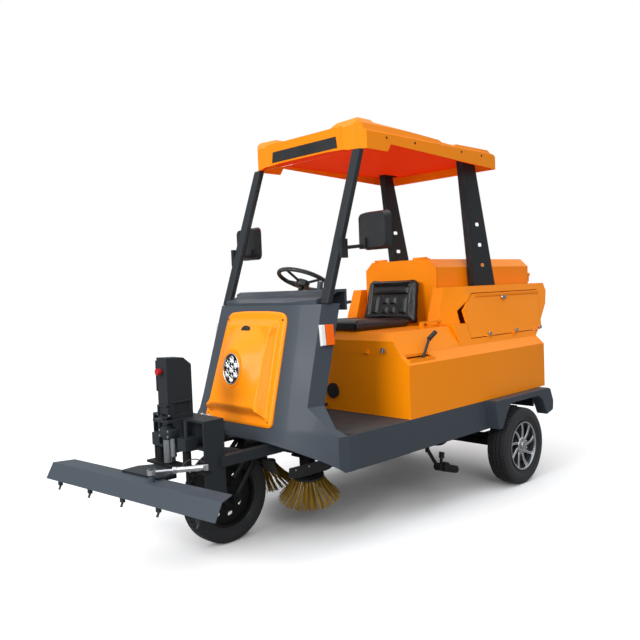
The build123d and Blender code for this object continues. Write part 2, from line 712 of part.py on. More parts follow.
# ---------------------------------------------------------------- seat
handle_x = lid_top_half - 40.0
handle_front_y = rear_axle_y - 776.0
handle_rear_y = rear_axle_y - 560.0
handle_top_z = 1152.0
with BuildPart() as seat_lid:
    lid_section = symmetric([
        (lid_half, front_seam_z + fit_gap),
        (lid_top_half, lid_top_z),
    ])
    prism_y(lid_section, body_front_y, lid_rear_y)
    nose_cut = [
        (body_front_y - 1.0, lid_front_z),
        (body_front_y, lid_front_z),
        (lid_front_top_y, lid_top_z),
        (lid_front_top_y, lid_top_z + 1.0),
        (body_front_y - 1.0, lid_top_z + 1.0),
    ]
    prism_x(nose_cut, -body_half_w, body_half_w, mode=Mode.SUBTRACT)
    prism_y(
        symmetric([
            (lid_half - 1.4 * panel_t, front_seam_z - 1.0),
            (lid_top_half - 1.1 * panel_t, lid_top_z - panel_t),
        ]),
        body_front_y + panel_t + 20.0,
        lid_rear_y - panel_t,
        mode=Mode.SUBTRACT,
    )
    # hinge barrels along the front edge
    for hinge_x in lid_hinge_x:
        rod((hinge_x - knuckle_len / 2, body_front_y - lid_hinge_r - 0.6, lid_hinge_z),
            (hinge_x + knuckle_len / 2, body_front_y - lid_hinge_r - 0.6, lid_hinge_z), lid_hinge_r)
        block(hinge_x - knuckle_len / 2, hinge_x + knuckle_len / 2, body_front_y - 2.0 * lid_hinge_r,
              body_front_y + 2.0, lid_hinge_z + 1.0, lid_hinge_z + 16.0)
    # D handle at the left rear
    for end_y in (handle_front_y, handle_rear_y - 26.0):
        block(handle_x - 11.0, handle_x + 11.0, end_y, end_y + 26.0, lid_top_z - 2.0, handle_top_z)
    block(handle_x - 11.0, handle_x + 11.0, handle_front_y, handle_rear_y, handle_top_z - 12.0, handle_top_z)
save(seat_lid.part, "seat_lid")

with BuildPart() as seat_cushion:
    cushion_side = [
        (cushion_front_y, lid_top_z + 22.0),
        (cushion_front_y + 10.0, cushion_top_z - 16.0),
        (cushion_front_y + 46.0, cushion_top_z),
        (back_front_y - 2.0, cushion_top_z - 22.0),
        (back_front_y - 2.0, lid_top_z + fit_gap),
        (cushion_front_y + 46.0, lid_top_z + fit_gap),
    ]
    prism_x(cushion_side, -seat_half, seat_half)
save(seat_cushion.part, "seat_cushion")

with BuildPart() as seat_backrest:
    back_side = [
        (back_front_y, lid_top_z + fit_gap),
        (back_front_y + back_lean, back_top_z),
        (min(back_front_y + back_lean + back_t, bulkhead_y - 12.0), back_top_z - 8.0),
        (back_front_y + 0.6 * back_t, lid_top_z + 90.0),
        (lid_rear_y - 2.0, lid_top_z + fit_gap),
    ]
    prism_x(back_side, -seat_half + 4.0, seat_half - 4.0)
save(seat_backrest.part, "seat_backrest")

# ---------------------------------------------------------------- front cowl
# one row for each level: its height, then the half width and the distance behind
# the front axle of five points: nose, middle of the face, crease, side and rear edge
cowl_rows = [
    (skirt_low_z, (291.0, 40.0), (440.0, 112.0), (575.0, 190.0), (body_half_w - 12.0, 262.0),
        (body_half_w, 334.0)),
    (floor_z, (282.0, 88.0), (425.0, 146.0), (548.0, 206.0), (body_half_w - 16.0, 266.0),
        (body_half_w, 324.0)),
    (650.0, (280.0, 100.0), (410.0, 150.0), (520.0, 206.0), (584.0, 252.0), (598.0, 286.0)),
    (760.0, (275.0, 132.0), (385.0, 168.0), (470.0, 208.0), (480.8, 261.1), (491.6, 314.2)),
    (cowl_top_z, (230.0, 294.0), (345.0, 326.0), (448.0, 366.0), (460.0, 425.0), (472.0, 484.0)),
]


def cowl_outline(row):
    """Right-hand and left-hand points of one level of the cowl's outside."""
    nose, face, crease, side, rear = row[1:]
    return symmetric([(x, front_axle_y + y) for x, y in (rear, side, crease, face, nose)])


def cowl_ring(row):
    """One level of the cowl's wall: along its outside and back along its inside."""
    nose, face, crease, side, rear = row[1:]
    inside = symmetric([
        (rear[0] - cowl_t, front_axle_y + rear[1]),
        (side[0] - cowl_t, front_axle_y + side[1] + 0.3 * cowl_t),
        (crease[0] - 0.9 * cowl_t, front_axle_y + crease[1] + 0.9 * cowl_t),
        (face[0] - 0.7 * cowl_t, front_axle_y + face[1] + 1.2 * cowl_t),
        (nose[0] - 0.6 * cowl_t, front_axle_y + nose[1] + 1.4 * cowl_t),
    ])
    return [Vector(x, y, row[0]) for x, y in cowl_outline(row) + inside[::-1]]


# the wall is a skin of flat facets from level to level
cowl_rings = [cowl_ring(row) for row in cowl_rows]
facets = [Face(Wire.make_polygon(cowl_rings[0])), Face(Wire.make_polygon(cowl_rings[-1]))]
for low, high in zip(cowl_rings, cowl_rings[1:]):
    for i in range(len(low)):
        j = (i + 1) % len(low)
        facets.append(Face(Wire.make_polygon([low[i], low[j], high[j]])))
        facets.append(Face(Wire.make_polygon([low[i], high[j], high[i]])))

with BuildPart() as front_cowl:
    add(Solid(Shell(facets)))
    prism_z(cowl_outline(cowl_rows[-1]), cowl_top_z - cowl_t, cowl_top_z)
    # the sides run on below the floor, back to the joint with the skirts
    for side in (-1, 1):
        block(min(side * (body_half_w - panel_t), side * body_half_w),
              max(side * (body_half_w - panel_t), side * body_half_w),
              front_axle_y + 324.0, skirt_front_y - fit_gap, skirt_low_z, floor_z)
    # the lower edge rises towards the nose
    edge_y = front_axle_y + 294.0
    edge_rise = 0.67
    prism_x(
        [
            (edge_y + 12.0, skirt_low_z - 2.0),
            (edge_y, skirt_low_z + 7.0),
            (front_axle_y, skirt_low_z + 7.0 + edge_rise * 294.0),
            (front_axle_y, skirt_low_z - 2.0),
        ],
        -body_half_w - 1.0,
        body_half_w + 1.0,
        mode=Mode.SUBTRACT,
    )
save(front_cowl.part, "front_cowl")

# ---------------------------------------------------------------- dashboard
dash_top_z = 1378.0
dash_rear_y = front_axle_y + 579.0
knob_x = 300.0
with BuildPart() as dashboard:
    prism_x(
        [
            (front_axle_y + 312.0, cowl_top_z + fit_gap),
            (front_axle_y + 312.0, cowl_top_z + 14.0),
            (front_axle_y + 424.0, dash_top_z - 40.0),
            (front_axle_y + 504.0, dash_top_z),
            (dash_rear_y, dash_top_z),
            (dash_rear_y, cowl_top_z - 40.0),
            (dash_rear_y - 16.0, cowl_top_z - 40.0),
            (dash_rear_y - 16.0, dash_top_z - 16.0),
            (front_axle_y + 504.0, dash_top_z - 16.0),
            (front_axle_y + 424.0, cowl_top_z + 20.0),
            (front_axle_y + 384.0, cowl_top_z + fit_gap),
        ],
        -436.0,
        436.0,
    )
    for side in (-1, 1):
        block(min(side * 404.0, side * 470.0), max(side * 404.0, side * 470.0), front_axle_y + 284.0,
              front_axle_y + 478.0, cowl_top_z - 60.0, dash_top_z + 10.0, mode=Mode.SUBTRACT)
    prism_z(
        symmetric([
            (436.0, dash_rear_y + 1.0),
            (436.0, front_axle_y + 381.0),
            (222.0, front_axle_y + 304.0),
        ]),
        cowl_top_z - 60.0,
        dash_top_z + 10.0,
        mode=Mode.INTERSECT,
    )
    for knob_y, knob_r in ((-1440.0, 17.0), (-1424.0, 22.0)):
        step = 44.0 if knob_r < 20.0 else 0.0
        rod((knob_x - step, rear_axle_y + knob_y, dash_top_z - 2.0),
            (knob_x - step, rear_axle_y + knob_y + 8.0, dash_top_z + 46.0), knob_r)
    rod((360.0, dash_rear_y - 8.0, cowl_top_z - 12.0), (378.0, dash_rear_y + 90.0, cowl_top_z + 2.0), 9.0)
    with BuildSketch(steer_plane.offset(crown_drop - 300.0)) as stem_hole:
        Circle(stem_r + move_gap)
    extrude(stem_hole.sketch, amount=300.0, mode=Mode.SUBTRACT)
save(dashboard.part, "dashboard")

# ---------------------------------------------------------------- front panel and headlamp
nose_low = (front_axle_y + 113.0, 700.0)
nose_high = (front_axle_y + 294.0, cowl_top_z)
nose_lean = atan2(nose_high[0] - nose_low[0], nose_high[1] - nose_low[1])
lamp_y = front_axle_y + 76.0
lamp_z = 955.0
lamp_rx = 71.0
lamp_rz = 86.0
lamp_ring = 16.0
panel_plate_t = 9.0
nose_plane = Plane(
    origin=(0, nose_low[0] - fit_gap, nose_low[1]),
    x_dir=(1, 0, 0),
    z_dir=(0, -cos(nose_lean), sin(nose_lean)),
)
panel_low_v = -55.0          # places on the panel run up the nose from nose_low
panel_top_v = 592.0
plateau_low_v = 36.0
plateau_high = (57.0, 36.0)  # height of the raised middle at its foot and 455 mm up
plateau_lean = atan2(plateau_high[0] - plateau_high[1], 455.0)
plateau_plane = Plane(
    origin=nose_plane.from_local_coords((0, plateau_low_v, plateau_high[0])),
    x_dir=(1, 0, 0),
    z_dir=(0, -cos(nose_lean - plateau_lean), sin(nose_lean - plateau_lean)),
)
with BuildPart() as front_panel:
    plate = symmetric([
        (300.0, panel_low_v),
        (296.0, panel_low_v + 65.0),
        (266.0, panel_top_v - 42.0),
        (240.0, panel_top_v - 10.0),
        (130.0, panel_top_v),
    ])
    with BuildSketch(nose_plane) as plate_sketch:
        with BuildLine():
            Polyline(*plate, close=True)
        make_face()
    extrude(plate_sketch.sketch, amount=panel_plate_t)
    # raised middle
    foot_points = symmetric([
        (222.0, panel_low_v + 40.0),
        (250.0, panel_low_v + 68.0),
        (226.0, panel_top_v - 88.0),
        (196.0, panel_top_v - 54.0),
    ])
    with BuildSketch(nose_plane.offset(panel_plate_t - 1.0)) as foot_sketch:
        with BuildLine():
            Polyline(*foot_points, close=True)
        make_face()
    with BuildSketch(plateau_plane) as plateau_sketch:
        with BuildLine():
            Polyline(*symmetric([(186.0, 0.0), (206.0, 20.0), (186.0, 440.0), (162.0, 462.0)]), close=True)
        make_face()
    loft([foot_sketch.sketch.face(), plateau_sketch.sketch.face()], ruled=True)
    # bulge that ends in the lamp's ring
    base_points = symmetric([(120.0, 16.0), (184.0, 50.0), (164.0, 396.0), (110.0, 450.0)])
    with BuildSketch(plateau_plane.offset(-1.0)) as base_sketch:
        with BuildLine():
            Polyline(*base_points, close=True)
        make_face()
    lamp_plane = Plane(origin=(0, lamp_y, lamp_z), x_dir=(1, 0, 0), z_dir=(0, -1, 0.10))
    wide = lamp_rx + lamp_ring
    high = lamp_rz + lamp_ring
    ring_points = symmetric([
        (0.42 * wide, -high),
        (wide, -0.42 * high),
        (wide, 0.42 * high),
        (0.42 * wide, high),
    ])
    with BuildSketch(lamp_plane) as ring_sketch:
        with BuildLine():
            Polyline(*ring_points, close=True)
        make_face()
    loft([base_sketch.sketch.face(), ring_sketch.sketch.face()], ruled=True)
    with BuildSketch(lamp_plane.offset(1.0)) as socket:
        Ellipse(lamp_rx + 2.0, lamp_rz + 2.0)
    extrude(socket.sketch, amount=-24.0, mode=Mode.SUBTRACT)
save(front_panel.part, "front_panel")

cell_r = 19.0
with BuildPart() as headlamp:
    with BuildSketch(lamp_plane.offset(-23.0 + fit_gap)) as lamp_body:
        Ellipse(lamp_rx, lamp_rz)
    extrude(lamp_body.sketch, amount=14.0)
    with BuildSketch(lamp_plane.offset(-10.0)) as lamp_rim:
        Ellipse(lamp_rx, lamp_rz)
        Ellipse(lamp_rx - 7.0, lamp_rz - 7.0, mode=Mode.SUBTRACT)
    extrude(lamp_rim.sketch, amount=12.0)
    with BuildSketch(lamp_plane.offset(-10.0)) as cells:
        Circle(cell_r)
        with PolarLocations(2.35 * cell_r, 6, start_angle=30.0):
            Circle(cell_r)
    extrude(cells.sketch, amount=7.0)
save(headlamp.part, "headlamp")

# ---------------------------------------------------------------- windscreen and its pillars
def pillar_line(z):
    """Middle of the windscreen line (y) at a height."""
    share = (z - cowl_top_z) / (roof_under_z - cowl_top_z)
    return pillar_foot_y + share * (pillar_head_y - pillar_foot_y)


pillar_low_z = cowl_top_z + fit_gap
pillar_high_z = roof_under_z - fit_gap
with BuildPart() as windscreen_pillars:
    pillar_side = [
        (pillar_line(pillar_low_z) - pillar_d / 2, pillar_low_z),
        (pillar_line(pillar_high_z) - pillar_d / 2, pillar_high_z),
        (pillar_line(pillar_high_z) + pillar_d / 2, pillar_high_z),
        (pillar_line(pillar_low_z) + pillar_d / 2, pillar_low_z),
    ]
    prism_x(pillar_side, pillar_half - pillar_w / 2, pillar_half + pillar_w / 2)
    mirror(about=Plane.YZ)
save(windscreen_pillars.part, "windscreen_pillars")

glass_t = 6.0
glass_low_z = dash_top_z - 36.0
with BuildPart() as windscreen:
    glass_high_z = roof_under_z - 4.0
    glass_side = [
        (pillar_line(glass_low_z) - glass_t / 2, glass_low_z),
        (pillar_line(glass_high_z) - glass_t / 2, glass_high_z),
        (pillar_line(glass_high_z) + glass_t / 2, glass_high_z),
        (pillar_line(glass_low_z) + glass_t / 2, glass_low_z),
    ]
    glass_half = pillar_half - pillar_w / 2 - fit_gap
    prism_x(glass_side, -glass_half, glass_half)
save(windscreen.part, "windscreen")

# ---------------------------------------------------------------- mirrors
mirror_z = (1592.0, 1808.0)
mirror_x = (452.0, 668.0)
mirror_y = front_axle_y + 692.0
clamp_z = 1604.0
with BuildPart() as side_mirror:
    clamp_y = pillar_line(clamp_z)
    clamp_in = pillar_half + pillar_w / 2 + fit_gap
    block(clamp_in, clamp_in + 24.0, clamp_y - 22.0, clamp_y + 26.0, clamp_z - 55.0, clamp_z + 50.0)
    rod((clamp_in + 14.0, clamp_y + 4.0, clamp_z),
        (mirror_x[0] + 52.0, mirror_y - 16.0, mirror_z[0] + 26.0), 10.0)
    block(mirror_x[0] + 30.0, mirror_x[0] + 74.0, mirror_y - 44.0, mirror_y - 16.0,
        mirror_z[0] + 6.0, mirror_z[0] + 66.0)
    with BuildSketch(Plane.XZ.offset(-(mirror_y - 24.0))) as mirror_back:
        with Locations(((mirror_x[0] + mirror_x[1]) / 2, (mirror_z[0] + mirror_z[1]) / 2)):
            RectangleRounded(mirror_x[1] - mirror_x[0] - 24.0, mirror_z[1] - mirror_z[0] - 24.0, 30.0)
    with BuildSketch(Plane.XZ.offset(-(mirror_y + 24.0))) as mirror_face:
        with Locations(((mirror_x[0] + mirror_x[1]) / 2, (mirror_z[0] + mirror_z[1]) / 2)):
            RectangleRounded(mirror_x[1] - mirror_x[0], mirror_z[1] - mirror_z[0], 36.0)
    loft([mirror_back.sketch.face(), mirror_face.sketch.face()])
save_pair(side_mirror.part, "mirror")

# ---------------------------------------------------------------- roof
ceiling_z = roof_under_z + 60.0
roof_wall = 14.0
cheek_rear_y = roof_front_y + 227.0
corner_back = 41.0           # the front corners lie behind the middle of the visor
arch_rise = 18.0
with BuildPart() as roof:
    prism_x(
        [
            (roof_front_y - 14.0, roof_under_z),
            (roof_front_y - 14.0, roof_lobe_z - 51.0),
            (roof_front_y + 24.0, roof_lobe_z),
            (roof_front_y + 136.0, roof_lobe_z),
            (roof_front_y + 148.0, roof_lobe_z - 17.0),
            (rear_axle_y - 520.0, roof_lobe_z - 47.0),
            (rear_axle_y - 490.0, roof_lobe_z - 60.0),
            (rear_axle_y - 350.0, roof_lobe_z - 65.0),
            (rear_axle_y - 330.0, roof_lobe_z - 53.0),
            (rear_axle_y + 50.0, roof_lobe_z - 51.0),
            (roof_rear_y, roof_under_z + 90.0),
            (roof_rear_y, roof_under_z + 2.0),
            (cheek_rear_y + 29.0, roof_under_z + 46.0),
            (cheek_rear_y, roof_under_z),
        ],
        -roof_half,
        roof_half,
    )
    # crown across, with a lobe over each front corner
    prism_y(
        symmetric([
            (roof_half, roof_under_z - 20.0),
            (roof_half, roof_lobe_z - 79.0),
            (roof_half - 14.0, roof_lobe_z - 71.0),
            (roof_half - 22.0, roof_top_z),
            (roof_half - 52.0, roof_lobe_z),
            (272.0, roof_lobe_z - 6.0),
            (236.0, roof_top_z),
        ]),
        roof_front_y - 15.0,
        roof_rear_y + 1.0,
        mode=Mode.INTERSECT,
    )
    # bowed visor: the lobes stand proud of the middle
    prism_z(
        symmetric([
            (roof_half, roof_rear_y + 1.0),
            (roof_half, roof_front_y + corner_back),
            (roof_half - 60.0, roof_front_y - 8.0),
            (345.0, roof_front_y - 14.0),
            (333.0, roof_front_y),
        ]),
        roof_under_z - 1.0,
        roof_lobe_z + 1.0,
        mode=Mode.INTERSECT,
    )
    prism_y(
        symmetric([
            (roof_half - 92.0, roof_under_z - 1.0),
            (roof_half - 144.0, roof_under_z + 0.6 * arch_rise),
            (200.0, roof_under_z + arch_rise),
        ]),
        roof_front_y - 15.0,
        roof_front_y + roof_wall + 1.0,
        mode=Mode.SUBTRACT,
    )
    prism_z(
        symmetric([
            (roof_half - roof_wall, roof_rear_y - roof_wall),
            (roof_half - roof_wall, roof_front_y + corner_back + roof_wall),
            (roof_half - 60.0 - roof_wall, roof_front_y + roof_wall),
        ]),
        roof_under_z - 20.0,
        ceiling_z,
        mode=Mode.SUBTRACT,
    )
save(roof.part, "roof")

sign_half = 290.0
with BuildPart() as roof_sign:
    prism_y(
        [
            (-sign_half, roof_under_z + 30.0),
            (-sign_half + 10.0, roof_under_z + 96.0),
            (sign_half - 10.0, roof_under_z + 96.0),
            (sign_half, roof_under_z + 30.0),
        ],
        roof_front_y - 4.0,
        roof_front_y - fit_gap,
    )
save(roof_sign.part, "roof_sign")

# ---------------------------------------------------------------- rear posts
slot_z = (1507.0, 1651.0, 1795.0)


def post_y(z):
    """Front and rear edge of a post at a height."""
    share = (z - shoulder_top_z) / (ceiling_z - shoulder_top_z)
    front = post_foot_front_y + share * (post_head_front_y - post_foot_front_y)
    rear = post_foot_rear_y + share * (post_head_rear_y - post_foot_rear_y)
    return front, rear


post_low_z = shoulder_top_z + fit_gap
post_high_z = ceiling_z - fit_gap
with BuildPart() as rear_posts:
    low_front, low_rear = post_y(post_low_z)
    high_front, high_rear = post_y(post_high_z)
    prism_x(
        [(low_front, post_low_z), (high_front, post_high_z), (high_rear, post_high_z),
            (low_rear, post_low_z)],
        post_out - post_t,
        post_out,
    )
    prism_x(
        [
            (low_front, post_low_z),
            (high_front, post_high_z),
            (high_front + post_t, post_high_z),
            (low_front + post_t, post_low_z),
        ],
        post_in,
        post_out,
    )
    prism_x(
        [
            (low_front, post_low_z),
            (low_front, post_low_z + post_t),
            (low_rear, post_low_z + post_t),
            (low_rear, post_low_z),
        ],
        post_in,
        post_out,
    )
    prism_x(
        [
            (high_front, post_high_z - post_t),
            (high_front, post_high_z),
            (high_rear, post_high_z),
            (high_rear, post_high_z - post_t),
        ],
        post_in,
        post_out,
    )
    for z in slot_z:
        front, rear = post_y(z)
        with BuildSketch(Plane.YZ.offset(post_out - post_t - 1.0)) as slot:
            with Locations(((front + rear) / 2 + 8.0, z)):
                SlotOverall(54.0, 26.0)
        extrude(slot.sketch, amount=post_t + 2.0, mode=Mode.SUBTRACT)
    mirror(about=Plane.YZ)
save(rear_posts.part, "rear_posts")

# ---------------------------------------------------------------- skirts with the rear fenders
arch_y = rear_axle_y
fender_out = 70.0            # fender beyond the side of the body
fender_half = body_half_w + fender_out
with BuildPart() as skirt:
    prism_x(
        [
            (skirt_front_y, skirt_low_z),
            (skirt_front_y, floor_z),
            (arch_y - 300.0, floor_z),
            (arch_y - 300.0, skirt_low_z),
        ],
        body_half_w - panel_t,
        body_half_w,
    )
    prism_x(
        [
            (arch_y - 330.0, floor_z),
            (arch_y - 330.0, floor_z - 50.0),
            (arch_y - 305.0, skirt_low_z),
            (arch_y - 262.0, skirt_low_z),
            (arch_y - 205.0, 512.0),
            (arch_y - 150.0, 572.0),
            (arch_y + 215.0, 572.0),
            (arch_y + 272.0, 540.0),
            (arch_y + 338.0, 424.0),
            (arch_y + 425.0, 446.0),
            (arch_y + 434.0, 512.0),
            (arch_y + 392.0, floor_z - 10.0),
            (arch_y + 360.0, floor_z),
        ],
        body_half_w - panel_t,
        fender_half,
    )
save_pair(skirt.part, "skirt")

# ---------------------------------------------------------------- rear bumper, tongue and lamps
bumper_half = 560.0
with BuildPart() as rear_bumper:
    block(-bumper_half, bumper_half, body_rear_y - 20.0, body_rear_y, 452.0, floor_z)
    for side in (-1, 1):
        block(side * rail_half - rail_w / 2, side * rail_half + rail_w / 2, rail_rear_y + fit_gap,
              body_rear_y - 20.0, 470.0, 510.0)
save(rear_bumper.part, "rear_bumper")

tow_hole_r = 13.0
tow_t = 16.0
tow_y = body_rear_y + 70.0
with BuildPart() as tow_tongue:
    prism_z(
        symmetric([(60.0, rail_rear_y + fit_gap), (60.0, body_rear_y - 10.0), (34.0, tow_y + 36.0)]),
        rail_low_z - tow_t,
        rail_low_z,
    )
    block(-60.0, 60.0, rail_rear_y + fit_gap, rail_rear_y + 14.0, rail_low_z - tow_t, rail_low_z + 8.0)
    with BuildSketch(Plane.XY.offset(rail_low_z - tow_t - 1.0)) as tow_hole:
        with Locations((0, tow_y)):
            Circle(tow_hole_r)
    extrude(tow_hole.sketch, amount=tow_t + 2.0, mode=Mode.SUBTRACT)
save(tow_tongue.part, "tow_tongue")

# one row for each lamp: name, depth along the cowl's side from its middle
marker_z = 1132.0
marker_share = (cowl_top_z - marker_z) / (cowl_top_z - cowl_rows[3][0])
crease_top, rear_top = (Vector(x, front_axle_y + y, cowl_top_z) for x,
    y in (cowl_rows[-1][3], cowl_rows[-1][5]))
crease_low, rear_low = (Vector(x, front_axle_y + y, cowl_rows[3][0]) for x,
    y in (cowl_rows[3][3], cowl_rows[3][5]))
marker_crease = crease_top + (crease_low - crease_top) * marker_share
marker_rear = rear_top + (rear_low - rear_top) * marker_share
marker_out = (marker_rear - marker_crease).cross(crease_low - crease_top).normalized()
marker_plane = Plane(
    origin=(marker_crease + marker_rear) * 0.5,
    x_dir=(marker_rear - marker_crease).normalized(),
    z_dir=marker_out * (1.0 if marker_out.X > 0 else -1.0),
)
for name, v_low, v_high in (("side_markers", -46.0, -14.0), ("turn_lamps", -13.7, 42.0)):
    with BuildPart() as marker:
        with BuildSketch(marker_plane.offset(fit_gap)) as marker_foot:
            with Locations(((v_low + v_high) / 2, 0)):
                Rectangle(v_high - v_low, 116.0)
        extrude(marker_foot.sketch, amount=20.0, taper=8.0)
        mirror(about=Plane.YZ)
    save(marker.part, name)

with BuildPart() as tail_lamps:
    block(470.0, 575.0, body_rear_y + fit_gap, body_rear_y + 26.0, 690.0, 850.0)
    mirror(about=Plane.YZ)
save(tail_lamps.part, "tail_lamps")

# ---------------------------------------------------------------- mast with its arms and guide rods
flange_z = 587.0
shelf_front_y = front_axle_y - 392.0
shelf_half = 72.0
arm_in = 214.0
arm_out = 262.0
guide_low_z = 300.0
head_top_z = mast_top_z - mast_t - 22.0
with BuildPart() as mast:
    for side in (-1, 1):
        block(min(side * mast_half, side * (mast_half - mast_t)),
            max(side * mast_half, side * (mast_half - mast_t)),
              mast_front_y, mast_rear_y, mast_low_z, mast_top_z)
        block(min(side * arm_in, side * arm_out), max(side * arm_in, side * arm_out),
              mast_rear_y - 30.0, rail_front_y - fit_gap, arm_low_z, arm_low_z + arm_h)
        rod((side * guide_half, guide_y, guide_low_z),
            (side * guide_half, guide_y, mast_top_z - 2.0), guide_r)
    block(-mast_half, mast_half, mast_front_y, mast_rear_y, mast_top_z - mast_t, mast_top_z)
    block(-shelf_half, shelf_half, shelf_front_y, mast_front_y + 1.0, mast_top_z - mast_t, mast_top_z)
    # guide flange and its web
    block(-mast_half + 2.0, mast_half - 2.0, mast_front_y + 10.0, mast_rear_y - 40.0, flange_z,
        flange_z + mast_t)
    block(-guide_half - 36.0, guide_half + 36.0, guide_y - 30.0, mast_front_y + 11.0, flange_z,
        flange_z + mast_t)
    block(-mast_half + 2.0, mast_half - 2.0, mast_rear_y - 60.0, mast_rear_y - 48.0, flange_z,
        mast_top_z - 2.0)
    # the lift actuator hangs through a hole in the flange
    block(-58.0, 86.0, guide_y - 90.0, guide_y + 26.0, flange_z - 1.0, flange_z + mast_t + 1.0,
        mode=Mode.SUBTRACT)
    for side in (-1, 1):
        block(side * guide_half - 36.0, side * guide_half + 36.0, guide_y - 30.0, guide_y + 40.0,
              flange_z + 2.0, flange_z + 66.0)
save(mast.part, "mast")

box_half = 45.5
box_front_y = front_axle_y - 369.0
box_rear_y = front_axle_y - 218.0
box_top_z = 1061.0
with BuildPart() as control_box:
    prism_x(
        [
            (box_front_y, mast_top_z + 30.0),
            (box_front_y, box_top_z),
            (box_rear_y - 46.0, box_top_z - 6.0),
            (box_rear_y, box_top_z - 44.0),
            (box_rear_y, mast_top_z + fit_gap),
            (box_front_y + 26.0, mast_top_z + fit_gap),
        ],
        -box_half,
        box_half,
    )
    # shelf and shallow recess on both sides
    for side in (-1, 1):
        block(min(side * box_half, side * (box_half + 12.0)), max(side * box_half, side * (box_half + 12.0)),
              box_front_y + 26.0, box_rear_y - 14.0, mast_top_z + 84.0, mast_top_z + 92.0)
        block(min(side * box_half, side * (box_half - 6.0)), max(side * box_half, side * (box_half - 6.0)),
              box_front_y + 40.0, box_rear_y - 26.0, mast_top_z + 20.0, mast_top_z + 78.0, mode=Mode.SUBTRACT)
save(control_box.part, "control_box")

knob_low_y = box_front_y - fit_gap
with BuildPart() as stop_knob:
    rod((0, knob_low_y, 990.0), (0, knob_low_y - 14.0, 990.0), 9.0)
    rod((0, knob_low_y - 13.0, 990.0), (0, knob_low_y - 30.0, 990.0), 17.0)
save(stop_knob.part, "stop_knob")

# ---------------------------------------------------------------- lift actuator
lift_y = front_axle_y - 350.0
carriage_top_z = 509.0
carriage_low_z = carriage_top_z - plate_t
lift_rod_r = 10.0
tube_low_z = carriage_top_z + move_gap
with BuildPart() as lift_cylinder:
    rod((0, lift_y, tube_low_z), (0, lift_y, 650.0), lift_r)
    block(-34.0, 66.0, lift_y - 34.0, lift_y + 34.0, 646.0, head_top_z)
    rod((48.0, lift_y, 548.0), (48.0, lift_y, 650.0), 17.0)
    block(-24.0, 24.0, lift_y - 20.0, lift_y + 20.0, head_top_z - 1.0, mast_top_z - mast_t - fit_gap)
    rod((0, lift_y, tube_low_z - 1.0), (0, lift_y, head_top_z - 4.0), lift_rod_r + 1.0, mode=Mode.SUBTRACT)
save(lift_cylinder.part, "lift_cylinder")

ear_x = 300.0
ear_y = front_axle_y - 331.0
eye_r = 15.0
eye_h = 16.0
swing_z = carriage_top_z + eye_h + move_gap
pin_r = 6.0
with BuildPart() as lift_carriage:
    block(-170.0, 170.0, front_axle_y - 382.0, front_axle_y - 297.0, carriage_low_z, carriage_top_z)
    block(160.0, ear_x + 20.0, ear_y - 20.0, ear_y + 20.0, carriage_low_z, carriage_top_z)
    rod((ear_x, ear_y, carriage_low_z), (ear_x, ear_y, swing_z + 22.0), pin_r)
    for side in (-1, 1):
        rod((side * guide_half, guide_y, carriage_low_z),
            (side * guide_half, guide_y, flange_z - 8.0), guide_r + 12.0)
        rod((side * guide_half, guide_y, carriage_low_z - 1.0), (side * guide_half, guide_y, flange_z),
            guide_r + 1.0, mode=Mode.SUBTRACT)
    rod((0, lift_y, carriage_low_z), (0, lift_y, head_top_z - 10.0), lift_rod_r)
save(lift_carriage.part, "lift_carriage")

# ---------------------------------------------------------------- swivel plate, spray bar and nozzles
bar_yaw = radians(bar_yaw_deg)
bar_along = (cos(bar_yaw), sin(bar_yaw), 0)
bar_back = (-sin(bar_yaw), cos(bar_yaw), 0)
swivel_top_z = carriage_low_z - fit_gap
swivel_low_z = swivel_top_z - plate_t
bar_top_z = swivel_low_z - fit_gap
eye_u = 140.0
eye_v = -212.0


def bar_point(u, v, z):
    """A place on the spray bar: u along it, v behind the swivel pin."""
    return (
        u * bar_along[0] + v * bar_back[0],
        pivot_y + u * bar_along[1] + v * bar_back[1],
        z,
    )


with BuildPart() as swivel_plate:
    plate_plane = Plane(origin=(0, pivot_y, swivel_low_z), x_dir=bar_along, z_dir=(0, 0, 1))
    with BuildSketch(plate_plane) as plate_shape:
        with BuildLine():
            Polyline(*symmetric([(60.0, 40.0), (150.0, -80.0), (150.0, -180.0)]), close=True)
        make_face()
    extrude(plate_shape.sketch, amount=plate_t)
    with BuildSketch(plate_plane.offset(-22.0)) as swivel_boss:
        Circle(34.0)
    extrude(swivel_boss.sketch, amount=23.0)
save(swivel_plate.part, "swivel_plate")

